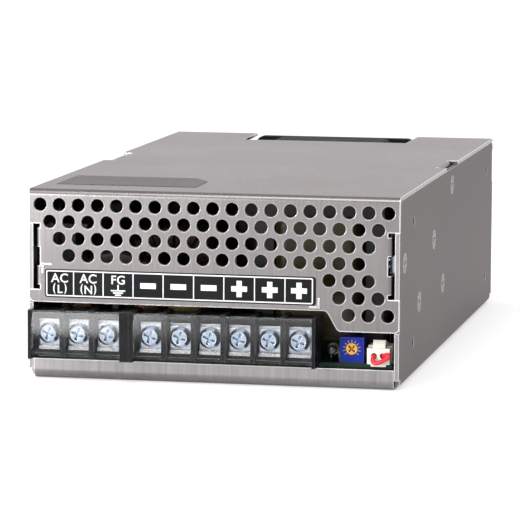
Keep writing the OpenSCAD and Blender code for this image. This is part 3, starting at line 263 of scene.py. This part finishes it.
# %% Grain group
g = Group("grain", [("Scales", "vector", (900, 900, 12)), ("Detail", "value", 3.0),
                    ("Contrast", "value", 1.0)], [("Lines", "value")])
place = add_node(g.tree, "TexCoord").outputs["Object"]
stretched = add_node(g.tree, "VectorMath", {0: place, 1: g.given["Scales"]}, operation="MULTIPLY")
lines = add_node(g.tree, "TexNoise", {"Vector": stretched.outputs[0], "Scale": 1.0,
                                      "Detail": g.given["Detail"], "Roughness": 0.6})
centred = maths(g.tree, "SUBTRACT", lines.outputs["Fac"], 0.5)
spread = maths(g.tree, "MULTIPLY", centred, g.given["Contrast"])
g.out("Lines", maths(g.tree, "ADD", spread, 0.5, use_clamp=True))
GRAIN = g.tree
print("grain group ready")

# %% [markdown]
# **Tone.** No plated or moulded surface has one colour. This group mixes two close colours by soft
# clouds, and darkens the mix a little where the grain group says so.

# %% Tone group
g = Group("tone", [("Light", "colour", (1, 1, 1, 1)), ("Dark", "colour", (0, 0, 0, 1)),
                   ("Size", "value", 40.0), ("Streaks", "value", 0.5),
                   ("Streak share", "value", 0.3)], [("Colour", "colour"), ("Clouds", "value")])
place = add_node(g.tree, "TexCoord").outputs["Object"]
clouds = add_node(g.tree, "TexNoise", {"Vector": place, "Scale": g.given["Size"], "Detail": 4.0,
                                       "Roughness": 0.55})
share = add_node(g.tree, "Mix", {0: g.given["Streak share"], 2: clouds.outputs["Fac"],
                                 3: g.given["Streaks"]})
patches = remap(g.tree, share.outputs[0], 0.3, 0.7)
g.out("Colour", blend(g.tree, patches, g.given["Dark"], g.given["Light"]))
g.out("Clouds", patches)
TONE = g.tree
print("tone group ready")

# %% [markdown]
# ** Soft edges.** A sheared sheet or a moulded part never ends in a perfect corner, and the thin
# round on its edge catches the light. The Bevel node bends the normals there. Ambient occlusion
# that looks into the solid finds the places near an edge, and gives a mask of them, where a
# material paints a highlight into its colour.

# %% Edge group
g = Group("soft_edges", [("Radius", "value", 0.0002), ("Height", "value", 0.5),
                         ("Bump", "value", 0.2), ("Bump depth", "value", 0.0001)],
          [("Normal", "vector"), ("Edge", "value")])
rounding = add_node(g.tree, "Bevel", {"Radius": g.given["Radius"]}, samples=4)
bump = add_node(g.tree, "Bump", {"Height": g.given["Height"], "Strength": g.given["Bump"],
                                 "Distance": g.given["Bump depth"],
                                 "Normal": rounding.outputs[0]})
thin = add_node(g.tree, "AmbientOcclusion", {"Distance": g.given["Radius"]}, samples=8,
                inside=True, only_local=True)
g.out("Normal", bump.outputs[0])
g.out("Edge", remap(g.tree, thin.outputs["AO"], 0.95, 0.6))
SOFT_EDGES = g.tree
print("edge group ready")

# %% [markdown]
# ** Crevices.** Corners and recesses get less light. Ambient occlusion measures how enclosed a point
# is, and a material mixes a darker colour into its base colour there: painted shade.

# %% Crevice group: painted shade
g = Group("painted_crevice_shade", [("Reach", "value", 0.001)], [("Mask", "value")])
near = add_node(g.tree, "AmbientOcclusion", {"Distance": g.given["Reach"]}, samples=8,
                only_local=True)
g.out("Mask", remap(g.tree, near.outputs["AO"], 0.25, 0.85, 1.0, 0.0))
CREVICE_SHADE_PAINT = g.tree
print("groups:", [t.name for t in bpy.data.node_groups])

# %% [markdown]
# ## Materials
#
# One function joins the groups to a Principled shader. Everything that is the same all over a
# surface is set on the shader's own sockets; only what varies comes in through links.

# %% The material maker
FINISHES = {}


def finish(name, light, dark, metallic=0.0, rough=(0.3, 0.4), grain=(60, 60, 60), contrast=1.0,
           clouds=40.0, streak_share=0.3, bump=0.1, bump_depth=0.0001, edge=0.0002,
           painted_edge_highlight=0.0, reach=None, painted_shade=(0, 0, 0), **shader_values):
    """A material whose colour runs from dark to light and whose roughness runs over a range.

    Edges get a painted highlight towards white; with a reach, recesses narrower than it get painted
    shade.
    """
    material = bpy.data.materials.new(name)
    material.use_nodes = True
    tree = material.node_tree
    shader = tree.nodes["Principled BSDF"]
    lines = add_node(tree, "Group", {"Scales": grain, "Contrast": contrast},
                     node_tree=GRAIN).outputs["Lines"]
    tone = add_node(tree, "Group", {"Light": (*light, 1), "Dark": (*dark, 1), "Size": clouds,
                                    "Streaks": lines, "Streak share": streak_share},
                    node_tree=TONE)
    edges = add_node(tree, "Group", {"Radius": edge, "Height": lines, "Bump": bump,
                                     "Bump depth": bump_depth}, node_tree=SOFT_EDGES)
    # Painted highlight: near an edge the colour moves towards white.
    edge_highlight_colour = tuple(c + (1 - c) * painted_edge_highlight for c in light)
    colour = blend(tree, edges.outputs["Edge"], tone.outputs["Colour"], (*edge_highlight_colour, 1))
    # Painted shade: with a reach, recesses take a darker colour into the base colour.
    if reach:
        closed = add_node(tree, "Group", {"Reach": reach}, node_tree=CREVICE_SHADE_PAINT)
        colour = blend(tree, closed.outputs["Mask"], colour, (*painted_shade, 1))
    tree.links.new(colour, shader.inputs["Base Color"])
    tree.links.new(remap(tree, tone.outputs["Clouds"], 0, 1, *rough), shader.inputs["Roughness"])
    tree.links.new(edges.outputs["Normal"], shader.inputs["Normal"])
    shader.inputs["Metallic"].default_value = metallic
    for socket, value in shader_values.items():
        shader.inputs[socket.replace("_", " ")].default_value = value
    FINISHES[name] = material
    return material


def dress(material, *nodes):
    """Gives CAD nodes one material on every slot."""
    for node in nodes:
        mesh = NODES[node].data
        mesh.materials.clear()
        mesh.materials.append(material)


print("material maker ready")

# %% [markdown]
# Zinc-plated sheet steel is the main finish. The chassis shows upright roller lines on its sides;
# the cover is a little lighter and smoother. Steel is darker than it looks, because it mirrors a
# white room, and its tint at a flat angle keeps the far edges from glaring.

# %% Sheet metal
# Both steels get a painted highlight along their edges, almost white on the cover's punched rims.
chassis_steel = finish("chassis_steel", (0.26, 0.245, 0.24), (0.165, 0.16, 0.17), metallic=1.0,
                       rough=(0.3, 0.42), grain=(1400, 1400, 40), contrast=1.6, clouds=11,
                       streak_share=0.35, bump=0.25, bump_depth=0.00003, edge=0.0003,
                       painted_edge_highlight=0.6, Specular_Tint=(0.5, 0.48, 0.48, 1))
cover_steel = finish("cover_steel", (0.205, 0.192, 0.19), (0.16, 0.149, 0.15), metallic=1.0,
                     rough=(0.24, 0.31), grain=(1400, 60, 60), contrast=1.4, clouds=18,
                     bump=0.2, bump_depth=0.00003, edge=0.0004, painted_edge_highlight=0.95,
                     Specular_Tint=(0.9, 0.85, 0.86, 1))
dress(chassis_steel, "chassis")
dress(cover_steel, "cover")
print("sheet metal:", chassis_steel.name, cover_steel.name)

# %% [markdown]
# The cover's holes and edges are punched, and the punch rolls their rims over. Two modifiers round
# the rims: one joins the flat triangles into whole faces, and one bevels the sharp edges between
# them. The CAD mesh itself stays as it came.

# %% Rolled rims
RIM = 0.25 * MM
flats = NODES["cover"].modifiers.new("merge_flats", "DECIMATE")
flats.decimate_type = "DISSOLVE"
flats.angle_limit = math.radians(2)
rims = NODES["cover"].modifiers.new("rolled_edges", "BEVEL")
rims.width = RIM
rims.segments = 3
rims.limit_method = "ANGLE"
rims.angle_limit = math.radians(50)
rims.harden_normals = True
print("rims rounded by", RIM / MM, "mm")

# %% Small metal parts
# Painted shade darkens the recesses of these parts, dark blue in the zinc screw heads.
zinc = finish("bright_zinc", (0.46, 0.51, 0.58), (0.24, 0.3, 0.4), metallic=1.0,
              rough=(0.14, 0.28), grain=(500, 500, 500), clouds=400, bump_depth=0.00003,
              edge=0.00015, painted_edge_highlight=0.5, reach=0.0009, painted_shade=(0.05, 0.11, 0.17))
tin = finish("tinned_plate", (0.42, 0.42, 0.425), (0.27, 0.27, 0.285), metallic=1.0,
             rough=(0.2, 0.34), grain=(300, 300, 300), clouds=150, bump_depth=0.00003,
             edge=0.00015, painted_edge_highlight=0.4, reach=0.0008, painted_shade=(0.1, 0.1, 0.11))
sink = finish("sink_aluminium", (0.55, 0.56, 0.57), (0.42, 0.43, 0.45), metallic=1.0,
              rough=(0.32, 0.45), grain=(900, 20, 900), contrast=1.5, clouds=60, bump=0.2,
              bump_depth=0.00004)
wall_zinc = finish("wall_zinc", (0.3, 0.29, 0.29), (0.19, 0.185, 0.19), metallic=1.0,
                   rough=(0.2, 0.32), grain=(500, 500, 500), clouds=300, bump_depth=0.00003,
                   edge=0.00025, painted_edge_highlight=0.7, reach=0.0009, painted_shade=(0.03, 0.03, 0.035),
                   Specular_Tint=(0.6, 0.58, 0.58, 1))
dress(zinc, "clip_nuts", "standoffs", "board_screws", "square_washers", "terminal_screws",
      "fan_screws", "device_screws")
dress(wall_zinc, "cover_screws", "heatsink_screws")
dress(tin, "contact_plates", "socket_pins", "fuse_clips")
dress(sink, "heatsink_left", "heatsink_right")
print("small metal parts dressed")

# %% [markdown]
# Plastics: the grain here is the fine texture of a spark-eroded mould, the same in all directions.

# %% Moulded plastics
MOULD = (900, 900, 900)
black = finish("black_plastic", (0.008, 0.008, 0.0095), (0.004, 0.004, 0.005),
               rough=(0.22, 0.34), grain=(2500, 2500, 2500), clouds=90, bump=0.15,
               bump_depth=0.00003, painted_edge_highlight=0.05, Specular_IOR_Level=0.13)
fan_black = finish("fan_black", (0.009, 0.009, 0.01), (0.005, 0.005, 0.006), rough=(0.55, 0.7),
                   grain=(1200, 1200, 1200), clouds=90, bump=0.2, bump_depth=0.00005,
                   Specular_IOR_Level=0.15)
blue = finish("blue_plastic", (0.004, 0.018, 0.3), (0.002, 0.01, 0.2), rough=(0.25, 0.35),
              grain=MOULD, clouds=300, painted_edge_highlight=0.1, Specular_IOR_Level=0.2)
# Painted shade darkens the rotor's recesses.
orange = finish("orange_plastic", (0.85, 0.4, 0.04), (0.7, 0.28, 0.02), grain=MOULD,
                clouds=500, reach=0.0014, painted_shade=(0.025, 0.007, 0.003))
ivory = finish("ivory_nylon", (0.86, 0.81, 0.7), (0.76, 0.7, 0.58), rough=(0.35, 0.5),
               grain=MOULD, clouds=250, Subsurface_Weight=0.15)
red = finish("red_insulation", (0.8, 0.02, 0.045), (0.6, 0.01, 0.03), rough=(0.25, 0.35),
             grain=MOULD, clouds=300)
lamp_plastic = finish("lamp_plastic", (0.016, 0.019, 0.018), (0.008, 0.01, 0.009),
                      rough=(0.08, 0.15), clouds=300, Coat_Weight=0.6)
dress(black, "ac_terminal_body", "dc_terminal_body", "inrush_relay")
dress(fan_black, "fan_frame", "fan_rotor")
dress(blue, "trimmer_body", "y_capacitors")
dress(orange, "trimmer_rotor")
dress(ivory, "remote_socket", "remote_plug", "fan_socket")
dress(red, "jumper_wire", "fan_lead")
dress(lamp_plastic, "status_lamp")
print("plastics dressed")

# %% [markdown]
# The parts on the board are mostly seen through the mesh, as dark shapes with a hint of colour.
# The copper, the yellow tape and the yellow capacitors get colours far darker than their own:
# painted shade for the dim inside of the case.

# %% Inside the case
board = finish("board_laminate", (0.003, 0.022, 0.011), (0.002, 0.014, 0.007),
               rough=(0.25, 0.4), grain=(400, 1600, 400), clouds=80, Specular_IOR_Level=0.2)
film = finish("insulating_film", (0.7, 0.68, 0.6), (0.6, 0.58, 0.5), rough=(0.3, 0.5), clouds=60)
epoxy = finish("epoxy_black", (0.016, 0.016, 0.018), (0.008, 0.008, 0.009), rough=(0.45, 0.6),
               grain=(1800, 1800, 1800), clouds=120, bump=0.2, Specular_IOR_Level=0.3)
sleeve = finish("capacitor_sleeve", (0.02, 0.028, 0.05), (0.01, 0.014, 0.03),
                rough=(0.15, 0.3), clouds=60, Coat_Weight=0.4)
copper = finish("enamelled_copper", (0.13, 0.06, 0.02), (0.05, 0.022, 0.01), metallic=0.5,
                rough=(0.2, 0.35), grain=(600, 600, 600), clouds=200)
core = finish("coated_core", (0.03, 0.026, 0.022), (0.018, 0.015, 0.013), rough=(0.35, 0.5),
              clouds=150)
ferrite = finish("ferrite", (0.014, 0.014, 0.015), (0.007, 0.007, 0.008), rough=(0.4, 0.55),
                 grain=(700, 700, 700), clouds=120)
tape = finish("yellow_tape", (0.055, 0.043, 0.007), (0.018, 0.014, 0.004), rough=(0.25, 0.4),
              grain=(20, 20, 700), contrast=1.5, clouds=60)
yellow = finish("yellow_plastic", (0.12, 0.085, 0.012), (0.08, 0.055, 0.008),
                rough=(0.25, 0.35), clouds=150)
pad = finish("thermal_pad", (0.35, 0.42, 0.55), (0.28, 0.34, 0.46), rough=(0.6, 0.75),
             grain=MOULD, clouds=100)
ceramic = finish("white_ceramic", (0.8, 0.79, 0.75), (0.7, 0.69, 0.64), rough=(0.15, 0.25),
                 clouds=150)
dress(board, "main_board", "control_board")
dress(film, "insulation_sheet")
dress(epoxy, "power_transistors", "output_rectifiers", "bridge_rectifier", "thermistor",
      "control_chips")
dress(sleeve, "bulk_capacitors", "output_capacitors")
dress(copper, "filter_choke_winding", "boost_choke_winding", "fan_stator")
dress(core, "filter_choke_core", "boost_choke_core")
dress(ferrite, "output_choke_core", "transformer_core")
dress(tape, "output_choke_coil", "transformer_coil")
dress(yellow, "x_capacitors")
dress(pad, "thermal_pads")
dress(ceramic, "line_fuse")
print("inside of the case dressed")

# %% [markdown]
# The terminal covers are clear moulded lids. The plastic is less than a millimetre thick, so it
# hardly bends what is seen through it. Its front face is slightly bowed, and leans back towards the
# top, which is polished, while the foot is dull from handling. The bow is a bump whose slope grows
# with height; it and the polish are on the coat of the outer faces only.

# %% Clear plastic
LID_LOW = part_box("ac_terminal_cover")[0][2]
LID_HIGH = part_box("ac_terminal_cover")[1][2]
LEAN = math.radians(13)         # of the face at its upper edge
BOW = math.tan(LEAN) * (LID_HIGH - LID_LOW) / 2
HAZE = (0.05, 0.07)
POLISH_FROM, POLISH_TO, POLISH = 0.3, 0.7, 0.8      # shares of the height, then the full weight

clear = bpy.data.materials.new("clear_plastic")
clear.use_nodes = True
tree = clear.node_tree
shader = tree.nodes["Principled BSDF"]
scratches = add_node(tree, "Group", {"Scales": (300, 300, 900)}, node_tree=GRAIN)
tree.links.new(remap(tree, scratches.outputs["Lines"], 0, 1, *HAZE), shader.inputs["Roughness"])
place = add_node(tree, "TexCoord").outputs["Object"]
height = add_node(tree, "SeparateXYZ", {0: place}).outputs["Z"]
rise = remap(tree, height, LID_LOW, LID_HIGH)
back = add_node(tree, "NewGeometry").outputs["Backfacing"]
outer = maths(tree, "SUBTRACT", 1.0, back)
bow = maths(tree, "MULTIPLY", maths(tree, "POWER", rise, 2.0), outer)
lean = add_node(tree, "Bump", {"Height": bow, "Strength": 1.0, "Distance": BOW}, invert=True)
polish = remap(tree, rise, POLISH_FROM, POLISH_TO, 0.0, POLISH, interpolation_type="SMOOTHSTEP")
tree.links.new(maths(tree, "MULTIPLY", polish, outer), shader.inputs["Coat Weight"])
tree.links.new(lean.outputs[0], shader.inputs["Coat Normal"])
for socket, value in (("Coat Roughness", 0.1), ("Coat IOR", 1.6), ("IOR", 1.2),
                      ("Transmission Weight", 1.0), ("Base Color", (0.97, 0.98, 0.99, 1))):
    shader.inputs[socket].default_value = value
FINISHES["clear_plastic"] = clear
dress(clear, "ac_terminal_cover", "dc_terminal_cover")
print(len(FINISHES), "finishes")

# %% [markdown]
# ## Thin plates and print
#
# Stickers are thin slabs, and print is a set of flat outlines a few hundredths of a millimetre
# in front of what it is printed on. Real geometry keeps the print crisp at any distance.

# %% Makers of thin pieces
def piece(name, mesh, material):
    """Links a mesh as a piece of the object that rides on the case."""
    thing = bpy.data.objects.new(name, mesh)
    scene.collection.objects.link(thing)
    thing.data.materials.append(material)
    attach(thing, "case")


def slab(name, corners, push):
    """A closed mesh between a flat outline and its copy moved by push."""
    mesh = bpy.data.meshes.new(name)
    made = bmesh.new()
    face = made.faces.new([made.verts.new(corner) for corner in corners])
    pulled = bmesh.ops.extrude_face_region(made, geom=[face])
    moved = [v for v in pulled["geom"] if isinstance(v, bmesh.types.BMVert)]
    bmesh.ops.translate(made, verts=moved, vec=push)
    bmesh.ops.recalc_face_normals(made, faces=made.faces)
    made.to_mesh(mesh)
    made.free()
    return mesh


def add_outline(made, points, holes=()):
    """Adds a flat filled outline, with holes, to a mesh in the plane y = 0."""
    edges = []
    for loop in (points, *holes):
        verts = [made.verts.new((x, 0, z)) for x, z in loop]
        edges += [made.edges.new((a, b)) for a, b in zip(verts, verts[1:] + verts[:1])]
    bmesh.ops.triangle_fill(made, edges=edges, use_beauty=True, use_dissolve=False)


def flat_piece(name, made, y, material):
    """Turns the outlines in a bmesh into a piece in the plane at y."""
    mesh = bpy.data.meshes.new(name)
    made.to_mesh(mesh)
    made.free()
    for vertex in mesh.vertices:
        vertex.co.y = y
    piece(name, mesh, material)
    print(name, "has", len(mesh.polygons), "faces")


# %% Outlines of signs
def rounded(x0, z0, x1, z1, r, steps=6):
    """The outline of a rectangle with rounded corners."""
    points = []
    for cx, cz, start in ((x1 - r, z0 + r, -90), (x1 - r, z1 - r, 0),
                          (x0 + r, z1 - r, 90), (x0 + r, z0 + r, 180)):
        for i in range(steps + 1):
            angle = math.radians(start + 90 * i / steps)
            points.append((cx + r * math.cos(angle), cz + r * math.sin(angle)))
    return points


def bar(x0, z0, x1, z1):
    """The outline of a rectangle."""
    return [(x0, z0), (x1, z0), (x1, z1), (x0, z1)]


def plus(x, z, reach, rise, arm):
    """A plus sign; reach and rise are half its width and height, arm is half its stroke."""
    return [(x - reach, z - arm), (x - arm, z - arm), (x - arm, z - rise), (x + arm, z - rise),
            (x + arm, z - arm), (x + reach, z - arm), (x + reach, z + arm), (x + arm, z + arm),
            (x + arm, z + rise), (x - arm, z + rise), (x - arm, z + arm), (x - reach, z + arm)]


def bracket(x, z, side, half=1.8, bow=0.75, thick=0.42, steps=10):
    """A round bracket as a crescent, thickest at its middle; side is -1 for the left one."""
    curve = []
    for reach in (bow + thick / 2, bow - thick / 2):
        angles = [math.pi * (i / steps - 0.5) for i in range(steps + 1)]
        arc = [(x + side * (reach * math.cos(a) - bow), z + half * math.sin(a)) for a in angles]
        curve += arc if not curve else arc[-2:0:-1]
    return curve


print("outlines: rounded, bar, plus, bracket")

# %% [markdown]
# ## The label over the terminals
#
# The label is a black sticker with rounded corners, a pale border and eight dividers, one cell
# over each pole. All its lengths are in millimetres.

# %% Sticker
LABEL = (5.3, 26.3, 93.4, 35.4)     # left, low, right, high
LABEL_ROUND = 0.9
LABEL_THICK = 0.1
PRINT_LIFT = 0.03
sticker_black = finish("sticker_black", (0.009, 0.009, 0.011), (0.006, 0.006, 0.007),
                       rough=(0.16, 0.24), clouds=60, edge=0.0001, Specular_IOR_Level=0.12)
print_white = finish("print_white", (0.82, 0.82, 0.83), (0.74, 0.74, 0.76), rough=(0.4, 0.5),
                     clouds=60, edge=0.0001)
sticker_y = FRONT - LABEL_THICK * MM
print_y = sticker_y - PRINT_LIFT * MM
outline = [(x, sticker_y, z) for x, z in on_front(rounded(*LABEL, LABEL_ROUND))]
piece("terminal_label", slab("terminal_label", outline, (0, LABEL_THICK * MM, 0)), sticker_black)
print("label", round(LABEL[2] - LABEL[0], 1), "x", round(LABEL[3] - LABEL[1], 1), "mm")

# %% Border, dividers and signs
MARGINS = (0.45, 0.4, -0.9, -0.4)   # from the sticker's edges to the border
BORDER = 0.4
BORDER_ROUND, INNER_ROUND = 0.6, 0.35
DIVIDERS = (14.8, 24.5, 34.3, 44.1, 54.0, 63.8, 73.7, 83.5)
DIVIDER_HALF = 0.17
SIGN_REACH, MINUS_HALF = 2.55, 0.9
PLUS_RISE, PLUS_ARM = 2.6, 0.85
EARTH_BARS = ((2.35, 2.1), (1.65, 1.4), (1.0, 0.72))    # half width, height over the border's foot
EARTH_THICK = 0.42
STEM_HALF, STEM_LOW, STEM_HIGH = 0.22, 2.5, 4.2
BRACKET_RISE = 2.45
BRACKET_SPREADS = (2.0, 2.35)       # round the L, and round the wider N

left, low, right, high = (a + b for a, b in zip(LABEL, MARGINS))
mid = (low + high) / 2
cells = [(a + b) / 2 for a, b in zip((left, *DIVIDERS), (*DIVIDERS, right))]
hole = rounded(left + BORDER, low + BORDER, right - BORDER, high - BORDER, INNER_ROUND)
made = bmesh.new()
add_outline(made, on_front(rounded(left, low, right, high, BORDER_ROUND)), [on_front(hole)])
signs = [bar(x - DIVIDER_HALF, low + BORDER, x + DIVIDER_HALF, high - BORDER) for x in DIVIDERS]
signs += [bar(x - SIGN_REACH, mid - MINUS_HALF, x + SIGN_REACH, mid + MINUS_HALF)
          for x in cells[3:6]]
signs += [plus(x, mid, SIGN_REACH, PLUS_RISE, PLUS_ARM) for x in cells[6:]]
earth = cells[2]
signs += [bar(earth - half, low + z, earth + half, low + z + EARTH_THICK)
          for half, z in EARTH_BARS]
signs.append(bar(earth - STEM_HALF, low + STEM_LOW, earth + STEM_HALF, low + STEM_HIGH))
signs += [bracket(x + side * spread, low + BRACKET_RISE, side)
          for x, spread in zip(cells, BRACKET_SPREADS) for side in (-1, 1)]
for sign in signs:
    add_outline(made, on_front(sign))
flat_piece("label_print", made, print_y, print_white)

# %% [markdown]
# The letters are text objects turned to meshes: AC over a bracketed L or N for the mains
# terminals, and FG for the frame ground. An offset makes the built-in face slightly bolder.

# %% The label's letters
CAPITAL = 0.73      # height of a capital as a share of the text size
BOLDER = 0.018      # of the height


def letters(name, words, x, z, height):
    """Words centred on x with their baseline at z, in millimetres, facing the front."""
    curve = bpy.data.curves.new(name, "FONT")
    curve.body = words
    curve.size = height / CAPITAL * MM
    curve.offset = BOLDER * height * MM
    curve.align_x = "CENTER"
    curve.space_character = 1.05
    text = bpy.data.objects.new(name, curve)
    scene.collection.objects.link(text)
    bpy.context.view_layer.update()
    mesh = bpy.data.meshes.new_from_object(text)
    bpy.data.objects.remove(text)
    mesh.transform(Matrix.Translation((LEFT + x * MM, print_y, z * MM))
                   @ Matrix.Rotation(math.pi / 2, 4, "X"))
    piece(name, mesh, print_white)


for name, words, cell, rise, height in (
        ("mark_live_top", "AC", 0, 4.5, 2.95), ("mark_live_low", "L", 0, 1.05, 2.75),
        ("mark_neutral_top", "AC", 1, 4.5, 2.95), ("mark_neutral_low", "N", 1, 1.05, 2.75),
        ("mark_ground", "FG", 2, 4.45, 2.85)):
    letters(name, words, cells[cell], low + rise, height)
print("letters done")

# %% [markdown]
# ## The nameplate on top
#
# A dark-grey sticker with one corner cut off lies on the top plate. It carries no print here.

# %% Nameplate
NAMEPLATE = [(5, 16), (51, 16), (51, 33.5), (50.2, 36.1), (45.2, 43.5), (5, 43.5)]
NAMEPLATE_LIFT, NAMEPLATE_THICK = 0.02, 0.08
nameplate_grey = finish("nameplate_grey", (0.1, 0.092, 0.094), (0.075, 0.07, 0.072),
                        rough=(0.4, 0.5), clouds=50, Specular_IOR_Level=0.2)
mesh = slab("nameplate", on_top(NAMEPLATE, NAMEPLATE_LIFT), (0, 0, NAMEPLATE_THICK * MM))
piece("nameplate", mesh, nameplate_grey)
print("nameplate", len(mesh.polygons), "faces")

# %% [markdown]
# ## The controls beside the terminals
#
# The trimmer has a printed scale: short white ticks all round its slot, with a gap at the foot
# where the turn ends. Each tick is a flat wedge that points away from the middle.

# %% Trimmer scale
TICKS = 11
TURN_END = math.radians(130)
TICK_START, TICK_END = 2.15 * MM, 2.9 * MM      # from the middle of the rotor
TICK_HALF, TICK_TIP_HALF = 0.12 * MM, 0.06 * MM
SCALE_LIFT = 0.02 * MM
tick_white = finish("tick_white", (0.42, 0.52, 0.6), (0.32, 0.4, 0.48), rough=(0.4, 0.5),
                    clouds=900)
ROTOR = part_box("trimmer_rotor")
middle = Vector(((ROTOR[0][0] + ROTOR[1][0]) / 2, (ROTOR[0][2] + ROTOR[1][2]) / 2))
made = bmesh.new()
for i in range(TICKS):
    angle = TURN_END * (2 * i / (TICKS - 1) - 1)
    out = Vector((math.sin(angle), math.cos(angle)))
    side = Vector((out.y, -out.x))
    add_outline(made, [middle + out * TICK_START - side * TICK_HALF,
                       middle + out * TICK_END - side * TICK_TIP_HALF,
                       middle + out * TICK_END + side * TICK_TIP_HALF,
                       middle + out * TICK_START + side * TICK_HALF])
flat_piece("trimmer_scale", made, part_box("trimmer_body")[0][1] - SCALE_LIFT, tick_white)

# %% [markdown]
# The jumper is one soft insulated wire. It leaves the plug's left cavity, hangs forward and to the
# right, and comes back into the right cavity from above. A smooth curve with a round bevel takes
# the place of the CAD model's plain tube.

# %% Jumper wire
WIRE = 1.45 * MM
WIRE_DROP = 1.1 * MM        # from the top of the loop to the plug's cavities
# Millimetres from the middle of the plug's front face: right, back and up
ROUTE = [(-1.4, 3.6, 0.0), (-1.4, 1.6, 0.0), (-1.45, 0.1, -0.1), (-1.7, -1.1, -0.9),
         (-1.3, -1.9, -2.0), (0.1, -2.2, -2.05), (1.6, -2.2, -1.3), (3.0, -2.0, -0.5),
         (3.7, -1.5, 0.2), (3.3, -0.8, 0.6), (2.2, -0.4, 0.35), (1.4, 0.6, 0.0),
         (1.4, 2.0, 0.0), (1.4, 3.6, 0.0)]
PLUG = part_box("remote_plug")
plug_x = (PLUG[0][0] + PLUG[1][0]) / 2
plug_face = PLUG[0][1]
plug_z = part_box("jumper_wire")[1][2] - WIRE_DROP
curve = bpy.data.curves.new("jumper", "CURVE")
curve.dimensions = "3D"
curve.bevel_depth = WIRE / 2
curve.bevel_resolution = 5
curve.resolution_u = 8
spline = curve.splines.new("NURBS")
spline.points.add(len(ROUTE) - 1)
for point, (x, y, z) in zip(spline.points, ROUTE):
    point.co = (plug_x + x * MM, plug_face + y * MM, plug_z + z * MM, 1)
spline.order_u = 4
spline.use_endpoint_u = True
wire = bpy.data.objects.new("jumper", curve)
scene.collection.objects.link(wire)
wire.data.materials.append(red)
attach(wire, "case")
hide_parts("jumper_wire")
print("jumper", round(WIRE / MM, 2), "mm thick")

# %% [markdown]
# ## Leaving the frame as it came
#
# The last cell only says that the scene is ready.

# %% Finish
print("scene ready")
